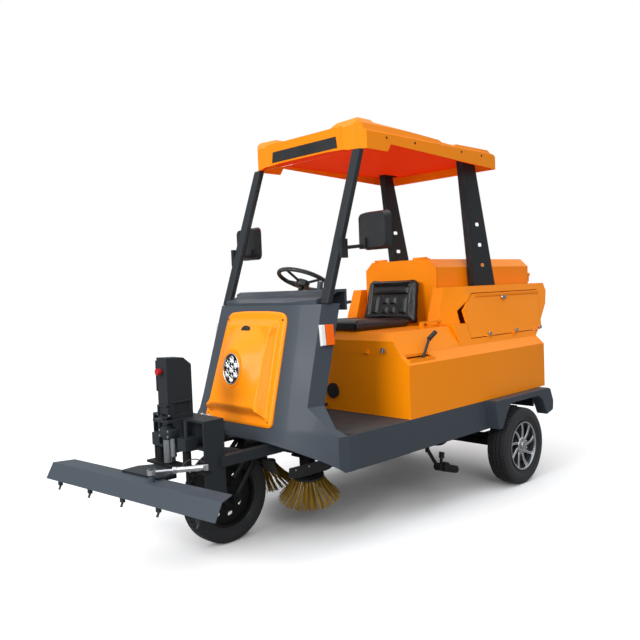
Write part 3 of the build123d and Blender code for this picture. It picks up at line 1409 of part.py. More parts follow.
with BuildPart() as spray_bar:
    end_plane = Plane(origin=bar_point(-bar_half, 0.0, 0.0), x_dir=bar_back, z_dir=bar_along)
    with BuildSketch(end_plane) as bar_section:
        with BuildLine():
            Polyline(
                (-bar_reach, bar_low_z),
                (-bar_reach + bar_face_in, bar_top_z),
                (-bar_reach + bar_top_d, bar_top_z),
                (-bar_reach + bar_top_d, bar_top_z - bar_t),
                (-bar_reach + bar_face_in + 0.6 * bar_t, bar_top_z - bar_t),
                (-bar_reach + 1.1 * bar_t, bar_low_z),
                close=True,
            )
        make_face()
    extrude(bar_section.sketch, amount=2 * bar_half)
    # the ends of the top are cut back at a slant
    with BuildSketch(Plane(origin=(0, pivot_y, bar_low_z), x_dir=bar_along, z_dir=(0, 0, 1))) as end_cuts:
        for side in (-1, 1):
            with BuildLine():
                Polyline(
                    (side * (bar_half + 1.0), -bar_reach + bar_face_in),
                    (side * (bar_half - 46.0), -bar_reach + bar_top_d + 1.0),
                    (side * (bar_half + 1.0), -bar_reach + bar_top_d + 1.0),
                    close=True,
                )
            make_face()
    extrude(end_cuts.sketch, amount=bar_top_z - bar_low_z + 1.0, mode=Mode.SUBTRACT)
    # stiffening ribs behind the face
    for rib_u in (-560.0, -190.0, 190.0, 560.0):
        rib_plane = Plane(origin=bar_point(rib_u - bar_t / 2, 0.0, 0.0), x_dir=bar_back, z_dir=bar_along)
        with BuildSketch(rib_plane) as rib:
            with BuildLine():
                Polyline(
                    (-bar_reach + 1.0 + bar_t, bar_low_z + 6.0),
                    (-bar_reach + bar_face_in, bar_top_z - 1.0),
                    (-bar_reach + bar_top_d - 6.0, bar_top_z - 1.0),
                    close=True,
                )
            make_face()
        extrude(rib.sketch, amount=bar_t)
    # lug and pin for the swing actuator
    rod(bar_point(eye_u, eye_v, bar_top_z - 2.0), bar_point(eye_u, eye_v, swing_z + 20.0), pin_r)
    rod(bar_point(eye_u, eye_v, bar_top_z - 2.0), bar_point(eye_u, eye_v, swing_z - 18.5), pin_r + 9.0)
save(spray_bar.part, "spray_bar")

nozzle_u = (-560.0, -280.0, 0.0, 280.0, 560.0)
with BuildPart() as spray_nozzles:
    for u in nozzle_u:
        rod(bar_point(u, -bar_reach + 14.0, bar_low_z - fit_gap),
            bar_point(u, -bar_reach + 14.0, bar_low_z - 24.0), 9.0)
        rod(bar_point(u, -bar_reach + 16.0, bar_low_z - 20.0),
            bar_point(u, -bar_reach + 4.0, bar_low_z - 46.0), 6.0)
        # clip up to the underside of the face
        block_plane = Plane(origin=bar_point(u, -bar_reach + 14.0, bar_low_z - 24.0),
            x_dir=bar_along, z_dir=(0, 0, 1))
        with BuildSketch(block_plane) as clip:
            Rectangle(26.0, 14.0)
        extrude(clip.sketch, amount=24.0 - fit_gap)
save(spray_nozzles.part, "spray_nozzles")

# ---------------------------------------------------------------- swing actuator
ear = Vector(ear_x, ear_y, swing_z)
eye = Vector(*bar_point(eye_u, eye_v, swing_z))
swing_dir = (eye - ear).normalized()
barrel_len = 165.0
barrel_r = 17.0
swing_rod_r = 8.0
swing_rod_len = 176.0
eye_slot_r = pin_r + 9.5    # the eye has play on its pin, as the bar swings on an arc
with BuildPart() as swing_barrel:
    with BuildSketch(Plane.XY.offset(swing_z - eye_h)) as barrel_eye:
        with Locations((ear.X, ear.Y)):
            Circle(eye_r)
    extrude(barrel_eye.sketch, amount=2 * eye_h)
    rod(tuple(ear + swing_dir * 4.0), tuple(ear + swing_dir * barrel_len), barrel_r)
    rod(tuple(ear + swing_dir * 20.0), tuple(ear + swing_dir * (barrel_len + 1.0)), swing_rod_r + 1.0,
        mode=Mode.SUBTRACT)
    rod((ear.X, ear.Y, swing_z - 40.0), (ear.X, ear.Y, swing_z + 40.0), pin_r + 0.5, mode=Mode.SUBTRACT)
save(swing_barrel.part, "swing_barrel")

with BuildPart() as swing_rod:
    rod(tuple(eye - swing_dir * swing_rod_len), tuple(eye), swing_rod_r)
    with BuildSketch(Plane.XY.offset(swing_z - 12.0)) as rod_eye:
        with Locations((eye.X, eye.Y)):
            Circle(eye_slot_r + 6.0)
    extrude(rod_eye.sketch, amount=24.0)
    rod((eye.X, eye.Y, swing_z - 40.0), (eye.X, eye.Y, swing_z + 40.0), eye_slot_r, mode=Mode.SUBTRACT)
save(swing_rod.part, "swing_rod")

# ---------------------------------------------------------------- side brushes and their drive
brush_x = 212.0
brush_y = front_axle_y + 436.0
brush_z = 312.0
brush_r = 188.0
brush_drop = 150.0
tufts = 26
tuft_slot = 7.0
brush_plane = Plane(origin=(brush_x, brush_y, brush_z), x_dir=(1, 0, 0), z_dir=(0.10, -0.12, 1))
motor_r = 46.0
shelf_z = rail_low_z - fit_gap
with BuildPart() as brush_drives:
    block(150.0, 300.0, brush_y - 70.0, brush_y + 70.0, shelf_z - 12.0, shelf_z)
    block(190.0, 260.0, rail_front_y, brush_y - 60.0, shelf_z - 12.0, shelf_z)
    with BuildSketch(brush_plane.offset(22.0)) as motor:
        Circle(motor_r)
    extrude(motor.sketch, amount=92.0)
    mirror(about=Plane.YZ)
save(brush_drives.part, "brush_drives")

with BuildPart() as side_brush:
    with BuildSketch(brush_plane.offset(-8.0)) as brush_hub:
        Circle(92.0)
    extrude(brush_hub.sketch, amount=16.0)
    with BuildSketch(brush_plane.offset(7.0)) as brush_boss:
        Circle(26.0)
    extrude(brush_boss.sketch, amount=15.0 - fit_gap)
    profile_plane = Plane(origin=brush_plane.origin, x_dir=brush_plane.x_dir, z_dir=-brush_plane.y_dir)
    with BuildSketch(profile_plane) as bristle_section:
        with BuildLine():
            Polyline(
                (48.0, -7.0),
                (88.0, -7.0),
                (brush_r, -brush_drop + 26.0),
                (brush_r - 34.0, -brush_drop),
                close=True,
            )
        make_face()
    revolve(bristle_section.sketch, axis=Axis(brush_plane.origin, brush_plane.z_dir))
    with BuildSketch(brush_plane.offset(-brush_drop - 4.0)) as slots:
        with PolarLocations(96.0 + 80.0, tufts):
            Rectangle(160.0, tuft_slot)
    extrude(slots.sketch, amount=brush_drop - 9.0, mode=Mode.SUBTRACT)
save_pair(side_brush.part, "side_brush")

# ---------------------------------------------------------------- spray lances below the sides
lance_y = rear_axle_y - 905.0
lance_x = body_half_w - 65.0
with BuildPart() as spray_lances:
    block(rail_half + rail_w / 2 + fit_gap, lance_x + 13.0, lance_y - 20.0, lance_y + 20.0, 450.0, 466.0)
    rod((lance_x, lance_y, 458.0), (lance_x, lance_y, 374.0), 13.0)
    rod((lance_x, lance_y - 2.0, 392.0), (lance_x, lance_y + 104.0, 256.0), 11.0)
    rod((lance_x, lance_y + 90.0, 266.0), (lance_x, lance_y + 290.0, 206.0), 24.0)
    rod((lance_x + 8.0, lance_y + 150.0, 254.0), (lance_x + 36.0, lance_y + 150.0, 254.0), 30.0)
    rod((lance_x, lance_y + 130.0, 250.0), (lance_x, lance_y + 142.0, 318.0), 9.0)
    rod((lance_x, lance_y + 141.0, 308.0), (lance_x, lance_y + 147.0, 344.0), 17.0)
    mirror(about=Plane.YZ)
save(spray_lances.part, "spray_lances")

# ---------------------------------------------------------------- controls and small fittings
tray_floor_z = ledge_z - tray_drop - 20.0
with BuildPart() as hand_brake:
    brake_x = body_half_w - 38.0
    block(brake_x - 12.0, brake_x + 12.0, rear_axle_y - 990.0, rear_axle_y - 925.0,
        tray_floor_z + fit_gap, tray_floor_z + 36.0)
    rod((brake_x, rear_axle_y - 958.0, tray_floor_z + 22.0), (brake_x, rear_axle_y - 885.0, 1064.0), 8.0)
    rod((brake_x, rear_axle_y - 889.0, 1058.0), (brake_x, rear_axle_y - 824.0, 1094.0), 14.0)
save(hand_brake.part, "hand_brake")

with BuildPart() as foot_pedals:
    for pedal_x in (-190.0, -120.0):
        prism_x(
            [
                (front_axle_y + 464.0, floor_z + fit_gap),
                (front_axle_y + 534.0, floor_z + fit_gap),
                (front_axle_y + 484.0, floor_z + 96.0),
                (front_axle_y + 472.0, floor_z + 90.0),
            ],
            pedal_x - 26.0,
            pedal_x + 26.0,
        )
    block(-62.0, -18.0, body_front_y - 46.0, body_front_y - fit_gap, floor_z + 24.0, floor_z + 38.0)
save(foot_pedals.part, "foot_pedals")

with BuildPart() as charge_port:
    rod((40.0, body_front_y - 12.0, 736.0), (40.0, body_front_y - fit_gap, 736.0), 48.0)
save(charge_port.part, "charge_port")
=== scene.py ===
# %% [markdown]
# # A compact road sweeper, dressed around its CAD frame
#
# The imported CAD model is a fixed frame: every body, joint and size comes from it.
# This lesson keeps that frame where it is and gives it the surfaces of the real
# machine: moulded panels with rounded edges, tyres with tread, a sewn seat,
# bristles, bolts, hoses and lamps.  X points to the machine's left, Y to its
# rear and Z up, and every length is in metres.

# %% Load the frame
import json
from math import atan2, cos, degrees, pi, radians, sin

import bmesh
import bpy
from mathutils import Matrix, Vector


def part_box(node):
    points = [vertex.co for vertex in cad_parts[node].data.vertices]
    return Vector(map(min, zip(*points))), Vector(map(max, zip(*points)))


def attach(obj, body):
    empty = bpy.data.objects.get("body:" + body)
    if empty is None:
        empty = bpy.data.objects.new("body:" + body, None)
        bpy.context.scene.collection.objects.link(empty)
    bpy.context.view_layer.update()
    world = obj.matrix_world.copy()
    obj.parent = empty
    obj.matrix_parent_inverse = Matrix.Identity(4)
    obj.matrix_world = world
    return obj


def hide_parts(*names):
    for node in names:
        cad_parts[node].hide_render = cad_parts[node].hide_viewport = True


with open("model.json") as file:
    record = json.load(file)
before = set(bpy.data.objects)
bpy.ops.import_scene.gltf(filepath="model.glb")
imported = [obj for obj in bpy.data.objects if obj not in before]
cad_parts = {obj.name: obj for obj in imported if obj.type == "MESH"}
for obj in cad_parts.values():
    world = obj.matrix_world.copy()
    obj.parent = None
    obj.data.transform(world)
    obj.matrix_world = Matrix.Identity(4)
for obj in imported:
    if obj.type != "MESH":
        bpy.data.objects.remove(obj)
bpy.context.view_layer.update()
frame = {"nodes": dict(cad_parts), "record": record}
nodes = frame["nodes"]
body_of = {name: body for body, names in frame["record"]["behaviour"]["bodies"].items() for name in names}

# %% [markdown]
# ## Small helpers
#
# Colours are written as sRGB hex values, as on a paint chart, and are turned into
# the linear values that a shader works with.  One function adds a shader node,
# sets its values and makes its links, so each finish reads as a short recipe.

# %% Colour and node helpers
def linear(hex_code, alpha=1.0):
    """An sRGB hex colour as linear RGBA."""
    parts = [int(hex_code[i:i + 2], 16) / 255 for i in (1, 3, 5)]
    return tuple(p / 12.92 if p <= 0.04045 else ((p + 0.055) / 1.055) ** 2.4 for p in parts) + (alpha,)


def set_all(thing, settings):
    """Give a node, a modifier or a lamp its settings."""
    for name, value in settings.items():
        setattr(thing, name, value)
    return thing


def add(tree, kind, settings=None, **inputs):
    """Add a shader node; inputs are values or (node, socket) pairs, with _ for a space."""
    made = set_all(tree.nodes.new("ShaderNode" + kind), settings or {})
    for name, value in inputs.items():
        socket = made.inputs[int(name[1:])] if name[1:].isdigit() else made.inputs[name.replace("_", " ")]
        if isinstance(value, tuple) and len(value) == 2 and isinstance(value[0], bpy.types.Node):
            tree.links.new(value[0].outputs[value[1]], socket)
        else:
            socket.default_value = value
    return made


def finish_named(name):
    """A new material with an empty tree: returns it and its tree."""
    made = bpy.data.materials.new(name)
    made.use_nodes = True
    made.node_tree.nodes.clear()
    return made, made.node_tree


def surfaced(made, kind="BsdfPrincipled", **inputs):
    """End a finish with its surface shader and its output node."""
    shader = add(made.node_tree, kind, **inputs)
    add(made.node_tree, "OutputMaterial", Surface=(shader, 0))
    return made


def object_noise(tree, scale, detail):
    """A noise that is fixed to the object."""
    place = add(tree, "TexCoord")
    return add(tree, "TexNoise", Vector=(place, "Object"), Scale=scale, Detail=detail)


def two_tones(tree, factor, hex_code, hex_shade):
    """Two close tones, mixed by one output of a node."""
    return add(tree, "Mix", {"data_type": "RGBA"}, Factor=factor, _6=linear(hex_code), _7=linear(hex_shade))


def uneven(tree, noise, roughness, least, most):
    """A roughness that wanders with a noise between two shares of its value."""
    return add(tree, "MapRange", Value=(noise, "Fac"), From_Min=0.3, From_Max=0.7,
               To_Min=roughness * least, To_Max=roughness * most)


# %% [markdown]
# ## Painted and moulded finishes
#
# The orange panels are sprayed sheet steel and glass-fibre with a gloss coat.
# Such a coat shows a faint orange-peel ripple a few millimetres wide and small
# changes of gloss.  The slate parts have the same build with a satin coat.

# %% Orange gloss coat
def sprayed_coat(name, hex_code, hex_shade, roughness, coat, peel_mm, peel_height):
    """Sprayed paint: two close tones, an orange-peel ripple and uneven gloss."""
    made, tree = finish_named(name)
    broad = object_noise(tree, 2.2, 3.0)
    tone = two_tones(tree, (broad, "Fac"), hex_code, hex_shade)
    gloss = uneven(tree, broad, roughness, 0.85, 1.2)
    peel = object_noise(tree, 1000.0 / peel_mm, 1.0)
    ripple = add(tree, "Bump", Height=(peel, "Fac"), Strength=0.25, Distance=peel_height / 1000)
    return surfaced(made, Base_Color=(tone, 2), Roughness=(gloss, "Result"), Normal=(ripple, "Normal"),
                    Coat_Weight=coat, Coat_Roughness=0.08, Specular_IOR_Level=0.2)


orange_coat = sprayed_coat("orange_gloss_coat", "#FF9300", "#FA8B00", 0.40, 0.10, 5.0, 0.05)
slate_coat = sprayed_coat("slate_satin_coat", "#424951", "#3D444C", 0.48, 0.05, 3.0, 0.04)
charcoal_coat = sprayed_coat("charcoal_satin_coat", "#2A2E32", "#25292D", 0.45, 0.05, 3.0, 0.04)
black_coat = sprayed_coat("black_powder_coat", "#1B1C1E", "#141516", 0.50, 0.0, 1.6, 0.08)
print("sprayed coats ready")


# %% Moulded plastic, vinyl and rubber
def grained_skin(name, hex_code, hex_shade, roughness, grain_mm, height_mm, sheen=0.0):
    """A moulded skin: cells of grain a millimetre or so wide as bumps, two close tones and uneven gloss."""
    made, tree = finish_named(name)
    place = add(tree, "TexCoord")
    cells = add(tree, "TexVoronoi", {"feature": "SMOOTH_F1"}, Vector=(place, "Object"),
                Scale=1000.0 / grain_mm, Smoothness=0.6)
    broad = object_noise(tree, 9.0, 4.0)
    tone = two_tones(tree, (broad, "Fac"), hex_code, hex_shade)
    gloss = uneven(tree, broad, roughness, 0.85, 1.15)
    relief = add(tree, "Bump", Height=(cells, "Distance"), Strength=0.5, Distance=height_mm / 1000)
    return surfaced(made, Base_Color=(tone, 2), Roughness=(gloss, "Result"), Normal=(relief, "Normal"),
                    Sheen_Weight=sheen)


black_plastic = grained_skin("black_moulded_plastic", "#1A1B1D", "#222325", 0.45, 1.4, 0.10)
black_vinyl = grained_skin("black_seat_vinyl", "#101113", "#16171A", 0.34, 2.2, 0.12)
tyre_rubber = grained_skin("tyre_rubber", "#17181A", "#202124", 0.72, 3.0, 0.12, sheen=0.1)
floor_rubber = grained_skin("ribbed_floor_rubber", "#3B3C3D", "#343536", 0.80, 4.0, 0.4)
print("moulded skins ready")


# %% Metals
def worked_metal(name, hex_code, roughness, grit_mm, metallic=1.0):
    """Bare or plated metal with fine brushing marks along one direction."""
    made, tree = finish_named(name)
    place = add(tree, "TexCoord")
    stretch = add(tree, "Mapping", Vector=(place, "Object"), Scale=(1.0, 1.0, 0.08))
    grit = add(tree, "TexNoise", Vector=(stretch, "Vector"), Scale=1000.0 / grit_mm, Detail=2.0)
    gloss = uneven(tree, grit, roughness, 0.7, 1.3)
    marks = add(tree, "Bump", Height=(grit, "Fac"), Strength=0.15, Distance=0.0001)
    return surfaced(made, Base_Color=linear(hex_code), Metallic=metallic, Roughness=(gloss, "Result"),
                    Normal=(marks, "Normal"))


machined_alloy = worked_metal("machined_alloy", "#C9CBCE", 0.28, 1.2)
zinc_steel = worked_metal("zinc_plated_steel", "#B9BBBD", 0.35, 1.0)
print("metals ready")


# %% Clear and coloured plastics
def clear_sheet(name, hex_code, roughness, transmission, ior):
    """A see-through sheet or lens, with a faint waviness in its gloss."""
    made, tree = finish_named(name)
    wave = object_noise(tree, 4.0, 1.0)
    gloss = add(tree, "MapRange", Value=(wave, "Fac"), To_Min=roughness, To_Max=roughness + 0.03)
    return surfaced(made, Base_Color=linear(hex_code), Roughness=(gloss, "Result"),
                    Transmission_Weight=transmission, IOR=ior)


screen_glass = clear_sheet("laminated_screen_glass", "#FFFFFF", 0.0, 1.0, 1.01)
lamp_lens = clear_sheet("lamp_reflector_lens", "#D9DBDE", 0.12, 0.0, 1.5)
white_lens = clear_sheet("white_marker_lens", "#F3F3F0", 0.15, 0.1, 1.49)
amber_lens = clear_sheet("amber_turn_lens", "#FF6A00", 0.12, 0.1, 1.49)
red_lens = clear_sheet("red_lens_and_knob_plastic", "#B3121A", 0.15, 0.0, 1.49)
yellow_bristle = grained_skin("yellow_polypropylene_bristle", "#A37C08", "#6E5004", 0.75, 6.0, 0.3)
print("lens plastics ready")

# %% Give every CAD node its finish
finish_of_slot = {
    "orange_paint": orange_coat,
    "slate_paint": slate_coat,
    "black_steel": black_coat,
    "black_plastic": black_plastic,
    "black_vinyl": black_vinyl,
    "tyre": tyre_rubber,
    "alloy": machined_alloy,
    "glass": screen_glass,
    "lamp_glass": lamp_lens,
    "white_lens": white_lens,
    "amber_lens": amber_lens,
    "red_plastic": red_lens,
    "bare_steel": zinc_steel,
    "bristle": yellow_bristle,
}
slot_of_finish = {finish.name: slot for slot, finish in finish_of_slot.items()}
slot_of_finish[charcoal_coat.name] = "slate_paint"
slot_of = {part["node"]: part["material_slot"] for part in frame["record"]["subparts"]}
for name, cad in nodes.items():
    cad.data.materials.clear()
    cad.data.materials.append(finish_of_slot[slot_of[name]])
nodes["floor_pan"].data.materials[0] = floor_rubber
for name in ("mast", "rear_posts", "windscreen_pillars", "control_box", "swivel_plate"):
    nodes[name].data.materials[0] = charcoal_coat
print(len(nodes), "CAD nodes finished")

# %% [markdown]
# ## The roof's underside and its painted glow
#
# The roof is glass fibre with thin colour on its inside, so daylight through it
# glows red-orange.  This glow is painted light: the downward and inner faces get a
# deeper red-orange colour and a weak emission, though the roof is no lamp.

# %% Roof underside with a painted glow
roof_painted_glow, tree = finish_named("roof_underside_painted_glow")
# a deeper red-orange and a weak emission: a painted glow of the light through the roof and off the orange
# body
painted_glow_tone = two_tones(tree, (object_noise(tree, 14.0, 5.0), "Fac"), "#F43C00", "#E03000")
surfaced(roof_painted_glow, Base_Color=(painted_glow_tone, 2), Roughness=0.7, Specular_IOR_Level=0.05,
         Emission_Color=(painted_glow_tone, 2), Emission_Strength=0.30)
print("roof underside ready")

# %% [markdown]
# ## Rounded panels
#
# Pressed and moulded panels have no knife edges: each bend has a radius of a few
# millimetres, which catches the light.  A copy of the CAD panel is merged into
# clean faces, its edges are bevelled, and it stands in for the sharp solid.

# %% Rounding helper
def only(piece):
    """Make this piece the one selected, active object."""
    bpy.ops.object.select_all(action="DESELECT")
    piece.select_set(True)
    bpy.context.view_layer.objects.active = piece


def applied(piece, kind, **settings):
    """Add a modifier, set it and apply it."""
    only(piece)
    made = set_all(piece.modifiers.new(kind.lower(), kind), settings)
    bpy.ops.object.modifier_apply(modifier=made.name)
    return piece


def linked(name, data):
    """A new object of this mesh, lamp or camera in the scene."""
    thing = bpy.data.objects.new(name, data)
    bpy.context.scene.collection.objects.link(thing)
    return thing


def cleaned(weld, before=None, after=None):
    """Weld the active mesh and turn its faces outwards, with an edit before or after the weld."""
    bpy.ops.object.mode_set(mode="EDIT")
    bpy.ops.mesh.select_all(action="SELECT")
    if before:
        before()
        bpy.ops.mesh.select_all(action="SELECT")
    bpy.ops.mesh.remove_doubles(threshold=weld)
    if after:
        after()
    bpy.ops.mesh.normals_make_consistent(inside=False)
    bpy.ops.object.mode_set(mode="OBJECT")


bend_steps, sharp_bend, smooth_bend = 3, radians(28), radians(36)
flat_enough = radians(1.0)


def rounded_copy(node, width_mm):
    """A copy of a CAD node with its sharp edges rounded."""
    piece = linked(node + "_shell", nodes[node].data.copy())
    only(piece)
    cleaned(0.00002, after=lambda: bpy.ops.mesh.dissolve_limited(angle_limit=flat_enough))
    applied(piece, "BEVEL", width=width_mm / 1000, segments=bend_steps, limit_method="ANGLE",
            angle_limit=sharp_bend)
    bpy.ops.object.shade_smooth_by_angle(angle=smooth_bend)
    # a corner takes its shading from its broad faces, so large panels look flat
    applied(piece, "WEIGHTED_NORMAL", keep_sharp=True)
    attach(piece, body_of[node])
    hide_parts(node)
    return piece


# %% Round the painted panels and the metalwork
rounding_mm = {
    14.0: ["front_cowl"],
    12.0: ["roof"],
    8.0: ["windscreen_pillars"],
    7.0: ["hood"],
    6.0: ["seat_lid", "dashboard", "mirror_left", "mirror_right"],
    5.0: ["lower_body", "side_panel_left", "side_panel_right", "skirt_left", "skirt_right", "rear_bumper",
          "tail_lamps"],
    4.0: ["bulkhead", "tail_panel", "control_box"],
    3.0: ["side_door_left", "side_door_right", "rear_posts", "side_markers", "turn_lamps", "front_fork",
          "chassis_frame"],
    2.0: ["mast", "swivel_plate"],
    1.5: ["spray_bar"],
}
shells = {node: rounded_copy(node, width) for width, group in rounding_mm.items() for node in group}
# the roof's second finish is the painted glow; it goes on the downward faces and the inner faces within the
# rim
shells["roof"].data.materials.append(roof_painted_glow)
roof_rim_z, roof_inside_x, roof_inside_y = 2.235, 0.468, (-0.355, 1.020)
for face in shells["roof"].data.polygons:
    x, y, z = face.center
    within = abs(x) < roof_inside_x and roof_inside_y[0] < y < roof_inside_y[1] and z < roof_rim_z
    if face.normal.z < -0.6 or (within and abs(face.normal.z) < 0.3):
        face.material_index = 1
print("rounded", len(shells), "nodes,", sum(len(shell.data.polygons) for shell in shells.values()), "faces")

# %% [markdown]
# ## Shaping helpers
#
# Three ways of making a piece cover most of the machine: a closed outline is
# spun about an axle, a flat grid is pulled into a moulded shell, and a block is
# cut to size and its edges are rolled.  Each piece is then given its finish and
# is fixed to the CAD body that carries it.

# %% Shaping helpers
def aimed(centre, axis):
    """The placing that puts a piece made along X on this centre, along this axis."""
    turn = Vector(axis).to_track_quat("X", "Z").to_matrix().to_4x4()
    return Matrix.Translation(Vector(centre)) @ turn


def part_turn(share):
    """A share of a full turn about the X axis."""
    return Matrix.Rotation(2 * pi * share, 4, "X")


def upright(x, y, z):
    """The placing that stands a piece made along X on this point."""
    return aimed((x, y, z), (0, 0, 1))


def fresh(name, primitive, **settings):
    """A new named piece at the origin from one of Blender's primitives."""
    bpy.ops.object.select_all(action="DESELECT")
    primitive(location=(0, 0, 0), **settings)
    piece = bpy.context.active_object
    piece.name = name
    return piece


def turned(name, outline, place=None, steps=48):
    """Spin a closed outline of (along, radius) points about the X axis, then place it."""
    piece = fresh(name, bpy.ops.mesh.primitive_circle_add, vertices=len(outline), radius=1.0)
    for vertex, (along, radius) in zip(piece.data.vertices, outline):
        vertex.co = (along, 0.0, radius)
    cleaned(0.00005, before=lambda: bpy.ops.mesh.spin(
        steps=steps, angle=2 * pi, center=(0, 0, 0), axis=(1, 0, 0)))
    if place:
        piece.data.transform(place)
    return piece


def formed_grid(name, columns, rows, place):
    """Pull a flat grid into shape: place turns (0..1, 0..1) into a point."""
    piece = fresh(name, bpy.ops.mesh.primitive_grid_add, size=1.0,
                  x_subdivisions=columns, y_subdivisions=rows)
    for vertex in piece.data.vertices:
        vertex.co = place(vertex.co.x + 0.5, vertex.co.y + 0.5)
    cleaned(0.00002)
    return piece


def block(name, low, high, roll_mm=2.0, segments=2):
    """A cut block with rolled edges, between two corners."""
    piece = fresh(name, bpy.ops.mesh.primitive_cube_add, size=1.0)
    low, high = Vector(low), Vector(high)
    for vertex in piece.data.vertices:
        vertex.co = Vector((low[k] + (vertex.co[k] + 0.5) * (high[k] - low[k]) for k in range(3)))
    return applied(piece, "BEVEL", width=roll_mm / 1000, segments=segments, limit_method="ANGLE")


def hose(name, points, radius, sides=8):
    """A hose, cable or bent rod: a smooth path through points, given a round section."""
    piece = fresh(name, bpy.ops.curve.primitive_nurbs_path_add)
    piece.data.splines.clear()
    path = piece.data.splines.new("NURBS")
    path.points.add(len(points) - 1)
    for point, place in zip(path.points, points):
        point.co = (*place, 1.0)
    path.use_endpoint_u = True
    path.order_u = min(4, len(points))
    path.resolution_u = 6
    piece.data.bevel_depth = radius
    piece.data.bevel_resolution = max(1, sides // 4)
    piece.data.use_fill_caps = True
    bpy.ops.object.convert(target="MESH")
    return bpy.context.active_object


def joined(name, pieces):
    """Make one object of several."""
    bpy.ops.object.select_all(action="DESELECT")
    for piece in pieces:
        piece.select_set(True)
    bpy.context.view_layer.objects.active = pieces[0]
    if len(pieces) > 1:
        bpy.ops.object.join()
    whole = bpy.context.active_object
    whole.name = name
    return whole


def copied(piece, place):
    """A copy with its own mesh, moved by a matrix."""
    twin = linked(piece.name + "_copy", piece.data.copy())
    twin.data.transform(place)
    return twin


def dressed(piece, material, smooth, body="chassis", stands_for=(), slot=None):
    """Give a finished piece its shading, its surface and its body, and hide the nodes it stands for."""
    only(piece)
    bpy.ops.object.shade_smooth_by_angle(angle=radians(smooth))
    piece.data.materials.clear()
    piece.data.materials.append(material)
    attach(piece, body)
    slot or slot_of_finish[material.name]
    if stands_for:
        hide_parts(*stands_for)
    return piece


def oval(around, half_u, half_v):
    """The point of an oval at a share of a turn."""
    return half_u * cos(2 * pi * around), half_v * sin(2 * pi * around)


def smooth_step(value):
    """0 below 0, 1 above 1, and an even S curve between."""
    value = min(max(value, 0.0), 1.0)
    return value * value * (3 - 2 * value)


both_sides = (("left", 1), ("right", -1))
print("shaping helpers ready")

# %% [markdown]
# ## Tyres
#
# A tyre is a closed ring of rubber: bulged sidewalls with raised moulding rings
# and a flatter crown cut by grooves.  Its outline is spun about the axle.  The
# lateral cuts of the tread are faces of the crown that are pushed inwards.

# %% Tyre helpers
def cut_faces(piece, wanted, depth):
    """Push the wanted faces inwards along their normals, as narrow moulded cuts."""
    only(piece)
    bpy.ops.object.mode_set(mode="EDIT")
    bpy.ops.mesh.select_mode(type="FACE")
    bpy.ops.mesh.select_all(action="DESELECT")
    shape = bmesh.from_edit_mesh(piece.data)
    for face in shape.faces:
        face.select = wanted(face)
    chosen = sum(face.select for face in shape.faces)
    bmesh.update_edit_mesh(piece.data)
    bpy.ops.mesh.extrude_region_shrink_fatten(TRANSFORM_OT_shrink_fatten={"value": -depth})
    bpy.ops.object.mode_set(mode="OBJECT")
    return chosen


def tyre_outline(radius, bead, width, grooves, groove):
    """Loop of (x, r) points: crown with grooves as deep as they are wide, shoulders, walls and beads."""
    half = width / 2
    wall = radius - bead
    side = [
        (0.78 * half, bead + 0.002),
        (0.90 * half, bead + 0.010),
        (0.89 * half, bead + 0.020),
        (0.965 * half, bead + 0.30 * wall),
        (0.995 * half, bead + 0.46 * wall),
        (0.975 * half, bead + 0.62 * wall),
        (0.990 * half, bead + 0.64 * wall),
        (0.960 * half, bead + 0.76 * wall),
        (0.93 * half, bead + 0.86 * wall),
        (0.84 * half, radius - 0.005),
    ]
    crown = [(0.70 * half, radius)]
    for g in sorted(grooves, reverse=True):
        crown += [(g + groove / 2, radius), (g + groove / 3, radius - groove),
                  (g - groove / 3, radius - groove), (g - groove / 2, radius)]
    crown.append((-0.70 * half, radius))
    crown = [(x, r - 0.004 * (abs(x) / half) ** 2) for x, r in crown]
    other_side = [(-x, r) for x, r in reversed(side)]
    inner = [(-0.70 * half, bead + 0.004), (0.70 * half, bead + 0.004)]
    return side + crown + other_side + inner


def tread_cuts(centre, radius, reach, repeat, share, slant, stagger):
    """A test for the faces of a tyre's crown that become lateral cuts."""
    def wanted(face):
        offset = face.calc_center_median() - centre
        around = degrees(atan2(offset.z, offset.y)) % 360.0
        turn = around + slant * abs(offset.x) + (stagger if abs(offset.x) > 0.033 else 0.0)
        level = abs(face.normal.x) < 0.75 and offset.yz.length > radius - 0.013
        return level and abs(offset.x) < reach and turn % repeat < share
    return wanted


# %% Rear and front tyres
steps_around = 216
rear_bead, front_bead = 0.1665, 0.1725


def moulded(name, node, centre, outline, cuts, depth):
    """Spin a tyre about its axle, cut its tread and dress it."""
    tyre = turned(name, outline, Matrix.Translation(centre), steps_around)
    count = cut_faces(tyre, tread_cuts(centre, tyre_radius, *cuts), depth)
    dressed(tyre, tyre_rubber, 32, body_of[node], [node])
    print(name, "cuts", count, "faces", len(tyre.data.polygons))


rear_low, rear_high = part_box("tyre_rear_left")
rear_centre = Vector((rear_low + rear_high) / 2)
tyre_radius = (rear_high.z - rear_low.z) / 2
rear_width, rear_grooves = rear_high.x - rear_low.x, (-0.028, 0.0, 0.028)
rear_outline = tyre_outline(tyre_radius, rear_bead, rear_width, rear_grooves, 0.008)
rear_cuts = (0.070, 5.0, 1.9, 18.0, 2.5)
for side, sign in both_sides:
    centre = Vector((sign * rear_centre.x, rear_centre.y, rear_centre.z))
    moulded("rear_tyre_" + side, "tyre_rear_" + side, centre, rear_outline, rear_cuts, 0.005)

front_low, front_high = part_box("tyre_front")
front_width, front_grooves = front_high.x - front_low.x, (-0.019, 0.019)
front_outline = tyre_outline(tyre_radius, front_bead, front_width, front_grooves, 0.007)
front_cuts = (0.050, 6.667, 1.9, 55.0, 0.0)
moulded("front_tyre", "tyre_front", Vector((front_low + front_high) / 2), front_outline, front_cuts, 0.006)

# %% [markdown]
# ## Rear rims
#
# The rims are cast alloy: a bright lip, nine thin curved spokes and a hub with
# lug nuts round its cap.  One spoke is formed from a grid and copied round the
# hub.  A dark brake drum behind the spokes makes them stand out.

